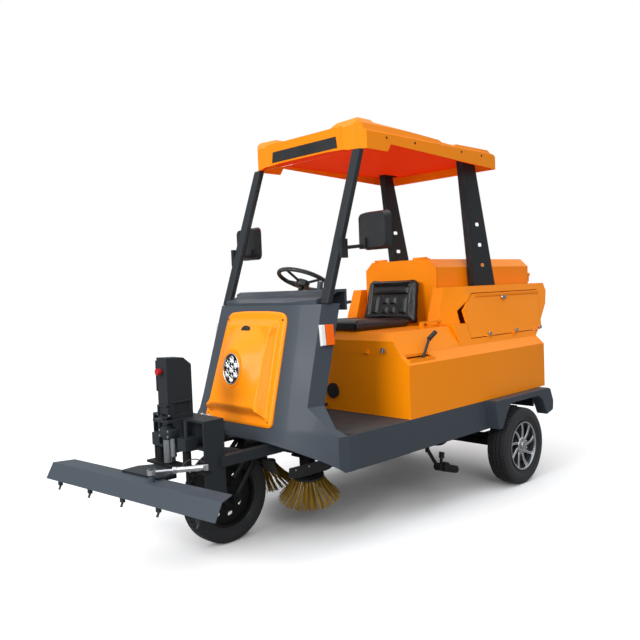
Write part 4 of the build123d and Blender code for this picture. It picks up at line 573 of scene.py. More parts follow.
# %% Rear rims
spoke_count = 9
rim_lip = [(0.060, 0.1655), (0.065, 0.1640), (0.0655, 0.1575), (0.062, 0.1540), (0.045, 0.1505),
           (0.010, 0.1490), (-0.040, 0.1480), (-0.057, 0.1510), (-0.057, 0.1655)]
hub_outline = [(-0.050, 0.001), (-0.050, 0.040), (0.030, 0.044), (0.046, 0.056), (0.052, 0.056),
               (0.056, 0.052), (0.056, 0.036), (0.054, 0.034), (0.054, 0.001)]
cap_outline = [(0.050, 0.001), (0.050, 0.029), (0.062, 0.029), (0.066, 0.026),
               (0.0672, 0.020), (0.0672, 0.001)]
drum_outline = [(-0.045, 0.045), (-0.045, 0.132), (0.008, 0.135), (0.014, 0.130), (0.014, 0.045)]
nut_outline = [(0.054, 0.001), (0.054, 0.0075), (0.064, 0.0075), (0.066, 0.005), (0.066, 0.001)]


def spoke_point(around, along):
    """One point of a spoke: around its rounded section, along from hub to lip."""
    reach = 0.050 + along * 0.103
    middle = radians(-3.0 + 14.0 * along ** 1.4)
    half_wide = 0.0085 + 0.004 * (1 - along) ** 2 + 0.0055 * along ** 5
    half_thick = 0.0055
    across, level = oval(around, half_wide, half_thick)
    front = 0.045 + 0.006 * along + level * (1.0 if level > 0 else 2.2)
    swing = middle + across / reach
    return Vector((front, reach * cos(swing), reach * sin(swing)))


spoke = formed_grid("spoke", 12, 9, spoke_point)
spokes = [copied(spoke, part_turn(k / spoke_count)) for k in range(spoke_count)]
nut = turned("lug_nut", nut_outline, steps=6)
nuts = [copied(nut, part_turn(k / 6) @ Matrix.Translation((0, 0, 0.044))) for k in range(6)]
cast = [turned("lip", rim_lip, steps=72), turned("hub", hub_outline, steps=36)]
bright = joined("cast_rim", cast + spokes)
shiny = joined("cap_and_nuts", [turned("cap", cap_outline, steps=36)] + nuts)
drum = turned("brake_drum", drum_outline, steps=36)
for side, sign in both_sides:
    centre = Matrix.Translation((sign * rear_centre.x, rear_centre.y, rear_centre.z))
    way = centre @ Matrix.Rotation(0 if sign > 0 else pi, 4, "Z")
    body = "rear_wheel_" + side
    dressed(copied(bright, way), machined_alloy, 30, body, stands_for=["rim_rear_" + side])
    dressed(copied(shiny, way), zinc_steel, 30, body)
    dressed(copied(drum, way), black_coat, 30, body)
for pattern in (spoke, nut, bright, shiny, drum):
    bpy.data.objects.remove(pattern)
print("rims with", spoke_count, "spokes each")

# %% [markdown]
# ## Front panel
#
# The orange nose panel is one moulding on the sloping cowl: a flat flange with
# rolled corners, a raised field inside it, and a bulge that rises to the oval
# lamp ring.  It is formed as a grid of rings from the lamp socket outwards.

# %% The nose's own plane
nose_origin = Vector((0.0, -0.9543, 0.700))
nose_up = Vector((0.0, 0.181, 0.600)).normalized()
nose_out = Vector((0.0, -nose_up.z, nose_up.y))


def on_nose(u, v, height):
    """A point from its place across, up and out of the cowl's sloping face."""
    return nose_origin + Vector((u, 0, 0)) + nose_up * v + nose_out * height


def rounded_outline(corners, radii, count):
    """Round the corners of a closed outline and space points evenly along it."""
    drawn = []
    for k, (corner, radius) in enumerate(zip(corners, radii)):
        before = Vector(corners[k - 1]) - Vector(corner)
        after = Vector(corners[(k + 1) % len(corners)]) - Vector(corner)
        first = Vector(corner) + before.normalized() * min(radius, 0.48 * before.length)
        last = Vector(corner) + after.normalized() * min(radius, 0.48 * after.length)
        for step in range(9):
            t = step / 8
            drawn.append(first * (1 - t) ** 2 + Vector(corner) * 2 * t * (1 - t) + last * t * t)
    lengths = [(drawn[(k + 1) % len(drawn)] - p).length for k, p in enumerate(drawn)]
    spacing, spaced, k, gone = sum(lengths) / count, [], 0, 0.0
    for wanted in range(count):
        while gone + lengths[k] < wanted * spacing:
            gone += lengths[k]
            k += 1
        share = (wanted * spacing - gone) / max(lengths[k], 1e-9)
        spaced.append(drawn[k].lerp(drawn[(k + 1) % len(drawn)], share))
    return spaced


# %% The moulding
lamp_v, lamp_height = 0.2335, 0.109
ring_u, ring_v = 0.087, 0.102
left_corners = [(0.300, -0.055), (0.296, 0.010), (0.266, 0.550), (0.240, 0.582), (0.130, 0.592)]
left_radii = [0.030, 0.05, 0.035, 0.035, 0.08]
panel_corners = left_corners + [(-u, v) for u, v in reversed(left_corners)]
panel_radii = left_radii + left_radii[::-1]
panel_outline = rounded_outline(panel_corners, panel_radii, 176)
outline_count = len(panel_outline)
socket_rows = [(0.78, -0.021), (0.835, -0.021), (0.845, -0.003), (0.865, 0.0), (0.93, 0.0015),
               (0.985, -0.0005), (1.0, -0.005)]
slope_rows = [k / 40 for k in range(1, 40)] + [0.983, 0.992, 1.0, 1.0]


def ring_height(v):
    """Height of the lamp ring's tilted face."""
    return lamp_height + (v - lamp_v) * 0.1957


def panel_height(u, v, inside):
    """Height of the moulding where the outline is this far away."""
    beyond = max(0.0, abs(u) - (0.280 - 0.080 * v))
    fallen = 0.30 * beyond ** 2 / (beyond + 0.02)
    plateau = 0.057 - 0.046 * (v - 0.04)
    flange = 0.0025 + 0.0065 * smooth_step(inside / 0.010)
    base = flange - fallen + plateau * smooth_step((inside - 0.046) / 0.050)
    near = ((u / ring_u) ** 2 + ((v - lamp_v) / ring_v) ** 2) ** 0.5
    reach_v = 0.265 if v > lamp_v else 0.185
    far = (abs(u / 0.190) ** 3 + abs((v - lamp_v) / reach_v) ** 3) ** (1 / 3)
    if far >= 1:
        return base
    rise = ((1 - far) / ((1 - far) + 0.42 * max(near - 1, 0.0))) ** 1.15
    return base * (1 - rise) + ring_height(v) * rise


def panel_point(around, along):
    """One point of the panel: around its outline, along from the lamp socket outwards."""
    k = round(around * outline_count) % outline_count
    row = round(along * (len(socket_rows) + len(slope_rows) - 1))
    edge = panel_outline[k]
    turn = atan2((edge.y - lamp_v) / ring_v, edge.x / ring_u)
    if row < len(socket_rows):
        share, drop = socket_rows[row]
        u, v = share * ring_u * cos(turn), lamp_v + share * ring_v * sin(turn)
        return on_nose(u, v, ring_height(v) + drop)
    start = Vector((ring_u * cos(turn), lamp_v + ring_v * sin(turn)))
    ray = edge - start
    tangent = (panel_outline[(k + 1) % outline_count] - panel_outline[k - 1]).normalized()
    share = slope_rows[row - len(socket_rows)]
    place = start + ray * share
    inside = (1 - share) * abs(ray.x * tangent.y - ray.y * tangent.x)
    last = row == len(socket_rows) + len(slope_rows) - 1
    return on_nose(place.x, place.y, -0.012 if last else panel_height(place.x, place.y, inside))


panel = formed_grid("nose_panel", outline_count, len(socket_rows) + len(slope_rows) - 1, panel_point)
dressed(panel, orange_coat, 50, body_of["front_panel"], stands_for=["front_panel"])
print("nose panel faces", len(panel.data.polygons))

# %% [markdown]
# The headlamp has seven faceted reflector cells in a dark oval bowl, a bright rim
# and a clear cover.  Each cell is a shallow star of tilted facets.

# %% Headlamp
def lamp_point(u, v, height):
    """A point in the lamp's own oval, out of the tilted ring face."""
    return on_nose(u, lamp_v + v, ring_height(lamp_v + v) + height)


def cell_at(middle_u, middle_v):
    """A star-shaped reflector cell about a point of the oval."""
    def place(around, along):
        turn = 2 * pi * around
        spike = round(around * 12) % 2
        reach = along * (0.0215 if spike else 0.0165)
        depth = -0.0165 + 0.0125 * along ** 1.6 + (0.003 if spike else -0.002) * along
        return lamp_point(middle_u + reach * cos(turn), middle_v + 1.15 * reach * sin(turn), depth)
    return formed_grid("cell", 12, 3, place)


cells = [cell_at(0.0, 0.0)] + [cell_at(*oval((30 + 60 * k) / 360, 0.0425, 0.0515)) for k in range(6)]
silvered = worked_metal("vacuum_silvered_reflector", "#E9EBEE", 0.12, 2.0)
dressed(joined("lamp_reflector_cells", cells), silvered, 5, stands_for=["headlamp"], slot="lamp_glass")
bowl = formed_grid("lamp_bowl", 48, 4, lambda a, b: lamp_point(
    *oval(a, 0.0725 * b, 0.087 * b), -0.0185 + 0.004 * b ** 4))
dressed(bowl, black_plastic, 40)
rim = formed_grid("lamp_rim", 72, 10, lambda a, b: lamp_point(
    *oval(a, 0.0695 + 0.0036 * cos(2 * pi * b), 0.0840 + 0.0036 * cos(2 * pi * b)),
    -0.002 + 0.0055 * sin(2 * pi * b)))
dressed(rim, machined_alloy, 60)
lamp_cover = clear_sheet("clear_lamp_cover", "#F4F7F8", 0.02, 1.0, 1.05)
cover = formed_grid("lamp_cover", 48, 8, lambda a, b: lamp_point(
    *oval(a, 0.0665 * b, 0.0815 * b), 0.0045 - 0.0055 * b ** 2))
dressed(cover, lamp_cover, 60, slot="lamp_glass")
print("headlamp cells", len(cells))

# %% Screws and the bare badge place
screw_outline = [(0.0, 0.0002), (0.0, 0.0085), (0.0015, 0.0088), (0.0032, 0.0070), (0.0042, 0.0040),
                 (0.0042, 0.0028), (0.0022, 0.0026), (0.0022, 0.0002)]
screw_places = [(0.268, -0.025), (-0.268, -0.025), (0.243, 0.540), (-0.243, 0.540)]
screws = [turned("panel_screw", screw_outline, aimed(on_nose(u, v, 0.0055), nose_out), 20)
          for u, v in screw_places]
dressed(joined("panel_screws", screws), black_coat, 30)
badge_v = 0.470
badge_height = panel_height(0.0, badge_v, 0.12) + 0.004


def badge_point(around, along):
    """The bare oval pad: a slightly domed face and a side that goes into the panel."""
    u, v = oval(around, 0.037 * min(along * 1.15, 1), 0.024 * min(along * 1.15, 1))
    return on_nose(u, badge_v + v, badge_height - 0.001 * along - (0.012 if along > 0.95 else 0.0))


badge = formed_grid("bare_badge_place", 48, 8, badge_point)
dressed(badge, black_plastic, 30)
print("panel fittings ready")

# %% [markdown]
# ## Seat
#
# The seat is two vinyl cushions over foam.  Each starts as a rolled block a
# little smaller than its CAD solid and is blown up as cloth, so that its faces
# crown and its sides pull in.  Then comes the sewn pattern: the backrest has a
# bolster round a sunk field with wide, tall and small pads.

# %% Cushion helpers
voxel, pressure, last_frame = 0.008, 4.0, 20


def blown_up(piece, cap):
    """Remesh a block, inflate it as cloth, cap each point's travel, and smooth it once."""
    applied(piece, "REMESH", mode="VOXEL", voxel_size=voxel)
    rest = [v.co.copy() for v in piece.data.vertices]
    only(piece)
    sim = piece.modifiers.new("inflate", "CLOTH")
    set_all(sim.settings, {"use_pressure": True, "uniform_pressure_force": pressure, "quality": 3})
    sim.settings.effector_weights.gravity = 0.0
    sim.collision_settings.use_collision = False
    set_all(sim.point_cache, {"frame_start": 1, "frame_end": last_frame})
    for step in range(1, last_frame + 1):
        bpy.context.scene.frame_set(step)
    bpy.ops.object.modifier_apply(modifier=sim.name)
    bpy.context.scene.frame_set(1)
    for vertex, was in zip(piece.data.vertices, rest):
        travel = vertex.co - was
        if travel.length > cap:
            vertex.co = was + travel * (cap / travel.length)
    return applied(piece, "SUBSURF", levels=1, render_levels=1)


def points_of(piece):
    """Each vertex with its normal as it is before any of them moves."""
    piece.data.update()
    return [(vertex, vertex.normal.copy()) for vertex in piece.data.vertices]


def pad(u, v, left, right, low, high, roll=0.010):
    """Height share of a stuffed pad with rolled edges."""
    edge = min(u - left, right - u, v - low, high - v)
    return smooth_step(edge / roll) * (0.86 + 0.14 * smooth_step(edge / (2.2 * roll)))


# %% Backrest
lean = Vector((0.0, 0.082, 0.348)).normalized()
back_out = Vector((0.0, -lean.z, lean.y))
back_foot = Vector((0.0, 0.352, 1.1105))
slab = block("seat_backrest_pad", (-0.246, 0.014, -0.070), (0.246, 0.338, -0.012), 26.0, segments=5)
for vertex in slab.data.vertices:
    u, v, w = vertex.co
    pinch = 1 - 0.06 * smooth_step((v - 0.18) / 0.14) - 0.10 * smooth_step((v - 0.285) / 0.05) ** 2
    vertex.co = back_foot + Vector((u * pinch, 0, 0)) + lean * v + back_out * w
blown_up(slab, 0.014)
small_pads = [(middle - 0.025, middle + 0.025, low, low + 0.052)
              for middle in (-0.034, 0.034) for low in (0.086, 0.152)]
tall_pads = [(-0.158, -0.096, 0.086, 0.206), (0.096, 0.158, 0.086, 0.206)]
wide_pads = [(-0.158, 0.158, 0.222, 0.274), (-0.158, 0.158, 0.280, 0.296)]
for vertex, normal in points_of(slab):
    if normal.dot(back_out) < 0.35:
        continue
    offset = vertex.co - back_foot
    u, v = offset.x, offset.dot(lean)
    facing = smooth_step((normal.dot(back_out) - 0.35) / 0.4)
    field = pad(u, v, -0.176, 0.176, 0.070, 0.306, 0.012)
    stuffed = max(pad(u, v, *place) for place in small_pads + tall_pads + wide_pads)
    foot = smooth_step((0.075 - v) / 0.05) * pad(u, v, -0.20, 0.20, -0.05, 0.09, 0.04)
    vertex.co += back_out * facing * (-0.017 * field + 0.014 * stuffed - 0.004 * foot)
dressed(slab, black_vinyl, 60, body_of["seat_backrest"], stands_for=["seat_backrest"])
print("backrest points", len(slab.data.vertices))

# %% Cushion
base = block("seat_cushion_pad", (-0.250, -0.208, 1.1125), (0.250, 0.338, 1.172), 24.0, segments=5)
for vertex in base.data.vertices:
    y = vertex.co.y
    vertex.co.z -= 0.016 * smooth_step((y - 0.05) / 0.30) * (vertex.co.z - 1.1125) / 0.06
blown_up(base, 0.012)
for vertex, normal in points_of(base):
    u, v, z = vertex.co
    up = smooth_step((normal.z - 0.3) / 0.4)
    seam = max(0.0, 1 - abs(z - 1.144) / 0.0045) * (1 - abs(normal.z))
    vertex.co -= normal * 0.0035 * seam
    field = pad(u, v, -0.175, 0.175, -0.150, 0.30, 0.030)
    line = max(0.0, 1 - abs(v + 0.150) / 0.006) * pad(u, 0, -0.18, 0.18, -1, 1, 0.02)
    vertex.co.z -= up * (0.009 * field + 0.004 * line)
    vertex.co.z = max(vertex.co.z, 1.1106)
dressed(base, black_vinyl, 60, body_of["seat_cushion"], stands_for=["seat_cushion"])
print("cushion points", len(base.data.vertices))

# %% [markdown]
# ## Side brushes
#
# Each brush is a black disc with a ring of clips and tufts of yellow plastic
# bristle that fan out and down to the ground.  One tuft is a bundle of thin
# bristles of slightly different lengths, copied round the disc in two rows.

# %% Side brushes
def jitter(seed):
    """A repeatable number between -1 and 1."""
    return 2 * ((sin(seed * 12.9898) * 43758.5453) % 1.0) - 1


def bristle(row, k):
    """One bristle of a tuft in the brush's own frame: down along -X and out along Y."""
    spread, lift = 0.0075 * jitter(k + 17 * row), 0.004 * jitter(3 * k + 5)
    start = 0.064 + 0.020 * row + 0.004 * jitter(7 * k)
    tip = 0.160 + 0.018 * row + 0.006 * jitter(11 * k + row)
    drop = 0.136 - 0.010 * row + 0.007 * jitter(13 * k + 2 * row)

    def place(around, along):
        reach = start + (tip - start) * along ** 1.25
        down = 0.006 + drop * along
        thick = 0.0026 * (1 - 0.4 * along)
        x, z = oval(around, thick, thick)
        return Vector((x - down, reach + lift * along, z + spread * (0.45 + 1.4 * along)))
    return formed_grid("bristle", 3, 3, place)


tuft_count, bristle_count = 26, 10
brush_x, brush_y, brush_z = 0.212, -0.631, 0.312
tufts = [joined("tuft", [bristle(row, k) for k in range(bristle_count)]) for row in (0, 1)]
fan = joined("bristle_fan", [
    copied(tuft, Matrix.Rotation(2 * pi * (k + 0.5 * row) / tuft_count + 0.03 * jitter(k + 31 * row), 4, "X"))
    for row, tuft in enumerate(tufts) for k in range(tuft_count)])
disc_outline = [(-0.008, 0.001), (-0.008, 0.086), (-0.005, 0.091), (0.005, 0.0915), (0.0075, 0.088),
                (0.0075, 0.030), (0.0210, 0.026), (0.0215, 0.024), (0.0215, 0.001)]
brush_disc = turned("brush_disc", disc_outline, steps=48)
clip_count = 12
clip_outline = [(0.0072, 0.0005), (0.0072, 0.0065), (0.0082, 0.0075), (0.0082, 0.0045), (0.0076, 0.0005)]
clips = joined("tuft_clips", [
    turned("tuft_clip", clip_outline, part_turn(k / clip_count) @ Matrix.Translation((0, 0.072, 0)), 12)
    for k in range(clip_count)])
for side, sign in both_sides:
    place = aimed((sign * brush_x, brush_y, brush_z), (sign * 0.10, -0.12, 1.0))
    body = body_of["side_brush_" + side]
    dressed(copied(fan, place), yellow_bristle, 50, body, stands_for=["side_brush_" + side])
    dressed(copied(brush_disc, place), black_plastic, 40, body)
    dressed(copied(clips, place), zinc_steel, 40, body)
for pattern in (*tufts, fan, brush_disc, clips):
    bpy.data.objects.remove(pattern)
print("brushes with", 2 * tuft_count, "tufts each")

# %% [markdown]
# ## Lift and swing drives
#
# The bar is lifted by an electric cylinder: a ribbed aluminium tube under a cast
# gear head, with a small motor beside it.  The swing cylinder is a bright barrel
# with raised end rings and a black cable over it.

# %% Lift cylinder
lift_at = Vector((0.0, -1.417, 0.0))


rib_steps = 60


def ribbed(around, along):
    """The tube's ribbed wall, closed at both ends."""
    rib = 0.0022 if round(around * rib_steps) % 6 in (0, 1, 2) else 0.0
    reach = (0.0235 + rib) * (0.02 if along in (0.0, 1.0) else 1.0)
    z = 0.5155 if along < 0.4 else 0.6475
    return lift_at + Vector((*oval(around, reach, reach), z))


tube = formed_grid("lift_tube", rib_steps, 3, ribbed)
motor_outline = [(0.0, 0.0005), (0.0, 0.013), (0.003, 0.0165), (0.012, 0.0165), (0.013, 0.0155),
                 (0.016, 0.0155), (0.017, 0.0165), (0.098, 0.0165), (0.098, 0.0005)]
motor = turned("lift_motor", motor_outline, upright(0.048, lift_at.y, 0.549), 28)
anodised = worked_metal("anodised_aluminium", "#9FA3A6", 0.38, 1.5)
tube = joined("lift_tube_and_motor", [tube, motor])
dressed(tube, anodised, 30, stands_for=["lift_cylinder"], slot="alloy")
top_z = min(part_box("lift_cylinder")[1].z, 0.7296)
gear_head = block("gear_head", (-0.033, -1.450, 0.647), (0.065, -1.384, 0.696), 9.0, segments=3)
dome_outline = [(0.0, 0.0005), (0.0, 0.031), (0.006, 0.031), (0.013, 0.026), (0.017, 0.018), (0.018, 0.0005)]
dome = turned("gear_dome", dome_outline, upright(0.0, lift_at.y, 0.694), 32)
clevis = block("lift_clevis", (-0.022, -1.435, 0.700), (0.022, -1.399, top_z), 3.0)
collar_outline = [(0.0, 0.020), (0.0, 0.0275), (0.012, 0.0275), (0.012, 0.020)]
collar = turned("gear_collar", collar_outline, upright(0.0, lift_at.y, 0.636), 32)
gear_head = joined("lift_gear_head", [gear_head, dome, clevis, collar])
dressed(gear_head, charcoal_coat, 30)
bolt_outline = [(0.0, 0.0003), (0.0, 0.0065), (0.0035, 0.0065), (0.0045, 0.0055), (0.0045, 0.0003)]


def bolts(name, places, way, size=1.0, material=zinc_steel):
    """Hexagon bolts at these places on the chassis, all facing one way."""
    outline = [(along * size, radius * size) for along, radius in bolt_outline]
    made = [turned("bolt", outline, aimed(place, way), 6) for place in places]
    return dressed(joined(name, made), material, 20, slot="bare_steel")


bolts("gear_head_bolts", [(x, -1.4498, z) for x in (-0.022, 0.054) for z in (0.657, 0.686)], (0, -1, 0))
print("lift cylinder dressed")

# %% Swing cylinder
barrel_low, barrel_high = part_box("swing_barrel")
swing_height = (barrel_low.z + barrel_high.z) / 2
ear = Vector((0.300, -1.398, swing_height))
eye_radius = 0.0215
rod_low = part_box("swing_rod")[0]
eye_at = Vector((rod_low.x + eye_radius, rod_low.y + eye_radius, swing_height))
along_swing = (eye_at - ear).normalized()
swing_body = body_of["swing_barrel"]
barrel_outline = [(0.012, 0.0095), (0.012, 0.0155), (0.016, 0.0168), (0.050, 0.0168), (0.052, 0.0150),
                  (0.140, 0.0150), (0.142, 0.0168), (0.158, 0.0168), (0.161, 0.0155), (0.161, 0.0095)]
barrel = turned("swing_barrel_body", barrel_outline, aimed(ear, along_swing), 36)
ring_outline = [(-0.0155, 0.0068), (-0.0155, 0.0135), (-0.014, 0.015),
                (0.014, 0.015), (0.0155, 0.0135), (0.0155, 0.0068)]
eye_ring = turned("barrel_eye", ring_outline, upright(*ear), 32)
barrel = joined("swing_barrel_dress", [barrel, eye_ring])
dressed(barrel, machined_alloy, 34, swing_body, stands_for=["swing_barrel"])
cable_path = [(0.0, 0.016), (0.03, 0.045), (0.075, 0.050), (0.105, 0.030), (0.112, 0.0135)]
cable_path = [ear + along_swing * along + Vector((0, 0, rise)) for along, rise in cable_path]
cable = hose("swing_cable", cable_path, 0.0032)
dressed(cable, black_plastic, 60, swing_body)
print("swing cylinder dressed")

# %% [markdown]
# The control box stands on the mast with a pressed frame at its foot and a
# dark slot beside the stop knob.  A chrome water pipe with fittings crosses
# above the mast plate and turns down into a black hose.

# %% Control box frame, pipe and hose
front_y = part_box("control_box")[0].y
frame_sides = [(-0.048, 0.050, 0.806, 0.816), (-0.048, 0.050, 0.748, 0.758),
               (0.040, 0.050, 0.748, 0.816), (-0.048, -0.038, 0.748, 0.816)]
frame_bars = [block("frame_bar", (left, front_y - 0.008, low), (right, front_y + 0.002, high), 1.5)
              for left, right, low, high in frame_sides]
dressed(joined("control_box_frame", frame_bars), charcoal_coat, 30)
slot_strip = block("control_box_slot", (-0.0565, front_y - 0.0015, 0.885), (-0.047, front_y + 0.002, 1.045),
                   0.5)
dressed(slot_strip, black_plastic, 30)
bolts("control_box_screws", [(x, front_y + 0.0002, 0.765) for x in (-0.053, 0.054)], (0, -1, 0))

pipe_y = -1.000
pipe_path = [(-0.300, 0.668), (-0.262, 0.668), (-0.200, 0.668), (-0.150, 0.668),
             (-0.118, 0.660), (-0.100, 0.640), (-0.092, 0.605), (-0.090, 0.590)]
pipe = hose("water_pipe", [(x, pipe_y, z) for x, z in pipe_path], 0.006, 12)
fitting_outline = [(0.0, 0.0005), (0.0, 0.0095), (0.002, 0.0105), (0.018, 0.0105),
                   (0.020, 0.0095), (0.020, 0.0005)]
fitting_places = [(-0.300, 0.668, (1, 0, 0)), (-0.236, 0.668, (1, 0, 0)), (-0.092, 0.612, (0.04, 0, -1))]
fittings = [turned("pipe_fitting", fitting_outline, aimed((x, pipe_y, z), way), 6)
            for x, z, way in fitting_places]
chromed_brass = worked_metal("chromed_brass", "#D8DADC", 0.12, 0.8)
dressed(joined("chrome_water_pipe", [pipe] + fittings), chromed_brass, 40, slot="bare_steel")
hose_path = [(-0.091, -1.000, 0.594), (-0.090, -1.000, 0.574), (-0.088, -0.985, 0.554),
             (-0.086, -0.950, 0.543), (-0.085, -0.900, 0.541)]
dressed(hose("water_hose", hose_path, 0.008, 12), black_plastic, 60)
print("control box, pipe and hose ready")

# %% [markdown]
# ## Guards, bolts and small fittings
#
# A rubber flap and a black guard keep the dirt of each side brush off the front
# wheel and the cowl.  Rows of hexagon bolts hold the plates and the roof.

# %% Brush guards and flaps
guard_rubber = grained_skin("grey_guard_rubber", "#4A4A46", "#3A3A37", 0.7, 3.0, 0.2)
for side, sign in both_sides:
    def guard_point(around, along, sign=sign):
        """The folded guard: a thin plate that narrows to the rear."""
        y = -0.880 + 0.400 * around
        top = 0.4205
        low = 0.352 + 0.014 * smooth_step((-0.80 - y) / 0.08) + 0.040 * smooth_step((y + 0.60) / 0.12)
        x = 0.332 + 0.020 * around - 0.012 * (1 - along)
        return Vector((sign * x, y, low + (top - low) * along))

    guard = formed_grid("brush_guard_" + side, 16, 4, guard_point)
    applied(guard, "SOLIDIFY", thickness=0.004, offset=0.0)
    dressed(guard, black_plastic, 40)

    def flap_point(around, along, sign=sign):
        """The hanging flap, a little curled at its free end."""
        x = 0.050 + 0.100 * around + 0.020 * (1 - along) * around
        y = -0.835 + 0.018 * (1 - along) ** 2
        return Vector((sign * x, y, 0.356 + 0.064 * along - 0.012 * (1 - along) * around))

    flap = formed_grid("brush_flap_" + side, 10, 8, flap_point)
    applied(flap, "SOLIDIFY", thickness=0.003, offset=0.0)
    dressed(flap, guard_rubber, 60, slot="black_plastic")
print("guards and flaps ready")

# %% Bolts
for side, sign in both_sides:
    bolts("guard_bolts_" + side, [(sign * 0.3365, y, 0.404) for y in (-0.84, -0.74, -0.62)], (sign, 0, 0))
roof_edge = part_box("roof")[1].x - 0.001
for side, sign in both_sides:
    bolts("roof_bolts_" + side, [(sign * roof_edge, y, 2.252) for y in (-0.15, 0.12, 0.62, 0.86)],
          (sign, 0, 0), 1.1, black_coat)
print("bolts ready")

# %% [markdown]
# ## Locker fittings, seat catch and front brake
#
# The lockers have zinc hinges along their lower edge and a flush lock at the
# upper one.  The seat lid has a zinc draw catch, and the front fork carries a
# brake caliper with its hose.

# %% Hinges, locks and catch
for side, sign in both_sides:
    door = "side_door_" + side
    door_low, door_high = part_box(door)
    edge_x = max(abs(door_low.x), abs(door_high.x))
    near, far = sorted((sign * (edge_x - 0.004), sign * (edge_x + 0.005)))
    leaves = [block("hinge_leaf", (near, y, door_low.z + 0.006), (far, y + 0.034, door_low.z + 0.030))
              for y in (0.735, 1.080, 1.420)]
    dressed(joined("locker_hinges_" + side, leaves), zinc_steel, 30, body_of[door])
    near, far = sorted((sign * 0.470, sign * 0.502))
    lock = block("locker_lock_" + side, (near, 1.055, 1.262), (far, 1.110, 1.284), 2.5)
    dressed(lock, zinc_steel, 30, body_of[door])
lid_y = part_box("seat_lid")[0].y
catch_plate = block("catch_plate", (0.452, lid_y - 0.004, 0.992), (0.486, lid_y + 0.003, 1.020), 1.5)
bow_outline = [(0.0, 0.0002), (0.0, 0.0037), (0.0008, 0.0045), (0.0232, 0.0045),
               (0.024, 0.0037), (0.024, 0.0002)]
catch_bow = turned("catch_bow", bow_outline, upright(0.469, lid_y - 0.006, 0.990), 16)
dressed(joined("seat_lid_catch", [catch_plate, catch_bow]), zinc_steel, 30, body_of["seat_lid"])
print("hinges, locks and catch ready")

# %% Front brake caliper
caliper = [
    block("caliper_body", (0.052, -1.232, 0.235), (0.086, -1.150, 0.300), 8.0, segments=3),
    turned("caliper_piston", [(0.0, 0.0005), (0.0, 0.019), (0.010, 0.019), (0.013, 0.016), (0.013, 0.0005)],
           aimed((0.084, -1.190, 0.268), (1, 0, 0)), 28),
    turned("bleed_nipple", [(0.0, 0.0005), (0.0, 0.005), (0.014, 0.004), (0.016, 0.002), (0.016, 0.0005)],
           upright(0.070, -1.215, 0.299), 12),
]
cast_bronze = worked_metal("cast_caliper_metal", "#6E5A48", 0.5, 2.0, metallic=0.7)
dressed(joined("front_brake_caliper", caliper), cast_bronze, 34, body_of["front_fork"], slot="bare_steel")
brake_path = [(0.070, -1.200, 0.300), (0.078, -1.185, 0.360), (0.085, -1.150, 0.430),
              (0.088, -1.110, 0.500), (0.088, -1.080, 0.540)]
brake_hose = hose("front_brake_hose", brake_path, 0.0045)
dressed(brake_hose, black_plastic, 60, body_of["front_fork"])
print("front brake ready")

# %% [markdown]
# ## Stage, light and camera
#
# The floor is white where the camera sees it and grey to every other ray, so it
# keeps a soft shadow without flooding the underside with bounced light.  The
# sky is brightest overhead, as under a ceiling bank, and dim at the horizon;
# two softboxes give the sides their shape.

# %% Floor
def seen_directly(tree):
    """1 for rays straight from the camera or through glass, and 0 for all others."""
    rays = add(tree, "LightPath")
    return add(tree, "Math", {"operation": "MAXIMUM"},
               _0=(rays, "Is Camera Ray"), _1=(rays, "Is Transmission Ray"))


floor = fresh("studio_floor", bpy.ops.mesh.primitive_plane_add, size=400.0)
white_floor, tree = finish_named("white_studio_floor")
floor_tone = two_tones(tree, (seen_directly(tree), 0), "#8F8F8F", "#FCFCFC")
surfaced(white_floor, "BsdfDiffuse", Color=(floor_tone, 2))
floor.data.materials.append(white_floor)

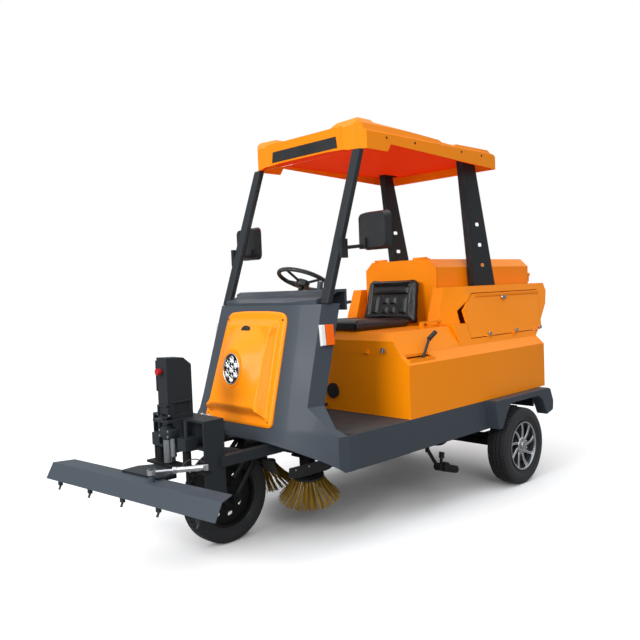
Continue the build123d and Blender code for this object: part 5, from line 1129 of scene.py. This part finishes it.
# %% World and lamps
world = bpy.data.worlds.new("studio_world")
bpy.context.scene.world = world
world.use_nodes = True
sky = world.node_tree
sky.nodes.clear()
bank_share, horizon_share = 1.75, 0.30
way = add(sky, "TexCoord")
parts = add(sky, "SeparateXYZ", Vector=(way, "Generated"))
square = add(sky, "Math", {"operation": "MULTIPLY"}, _0=(parts, "Z"), _1=(parts, "Z"))
bank = add(sky, "Math", {"operation": "MULTIPLY_ADD"}, _0=(square, 0), _1=bank_share, _2=horizon_share)
seen = add(sky, "Background", Color=(1, 1, 1, 1), Strength=1.0)
lit = add(sky, "Background", Color=linear("#F6F8FA"), Strength=(bank, 0))
choice = add(sky, "MixShader", _0=(seen_directly(sky), 0), _1=(lit, 0), _2=(seen, 0))
add(sky, "OutputWorld", Surface=(choice, 0))


def softbox(name, place, aim, size, watts):
    """A square area lamp turned towards a point."""
    lamp = set_all(bpy.data.lights.new(name, "AREA"), {"shape": "SQUARE", "size": size, "energy": watts})
    turn = (Vector(aim) - Vector(place)).to_track_quat("-Z", "Y").to_euler()
    return set_all(linked(name, lamp), {"location": place, "rotation_euler": turn})


softbox("front_softbox", (0.3, -6.2, 3.2), (0, -0.6, 1.0), 2.6, 230)
softbox("side_softbox", (5.6, -3.2, 3.6), (0, 0.3, 0.9), 2.6, 110)
print("stage and lamps ready")

# %% Camera
eye = Vector((3.136, -3.356, 1.390))
yaw, pitch, roll = radians(45.542), radians(2.653), radians(-2.229)
forward = Vector((-sin(yaw) * cos(pitch), cos(yaw) * cos(pitch), -sin(pitch)))
level_right = Vector((cos(yaw), sin(yaw), 0))
level_up = level_right.cross(forward)
right = level_right * cos(roll) + level_up * sin(roll)
up = level_up * cos(roll) - level_right * sin(roll)
focal_px, frame_px, sensor_mm = 698.465, 640, 36.0
lens = set_all(bpy.data.cameras.new("view_camera"), {
    "sensor_width": sensor_mm, "sensor_fit": "HORIZONTAL", "lens": focal_px / frame_px * sensor_mm})
camera = linked("view_camera", lens)
camera.matrix_world = Matrix((
    (right.x, up.x, -forward.x, eye.x),
    (right.y, up.y, -forward.y, eye.y),
    (right.z, up.z, -forward.z, eye.z),
    (0, 0, 0, 1),
))
bpy.context.scene.camera = camera
bpy.context.scene.view_settings.view_transform = "Standard"
print("camera at", tuple(round(c, 3) for c in eye))
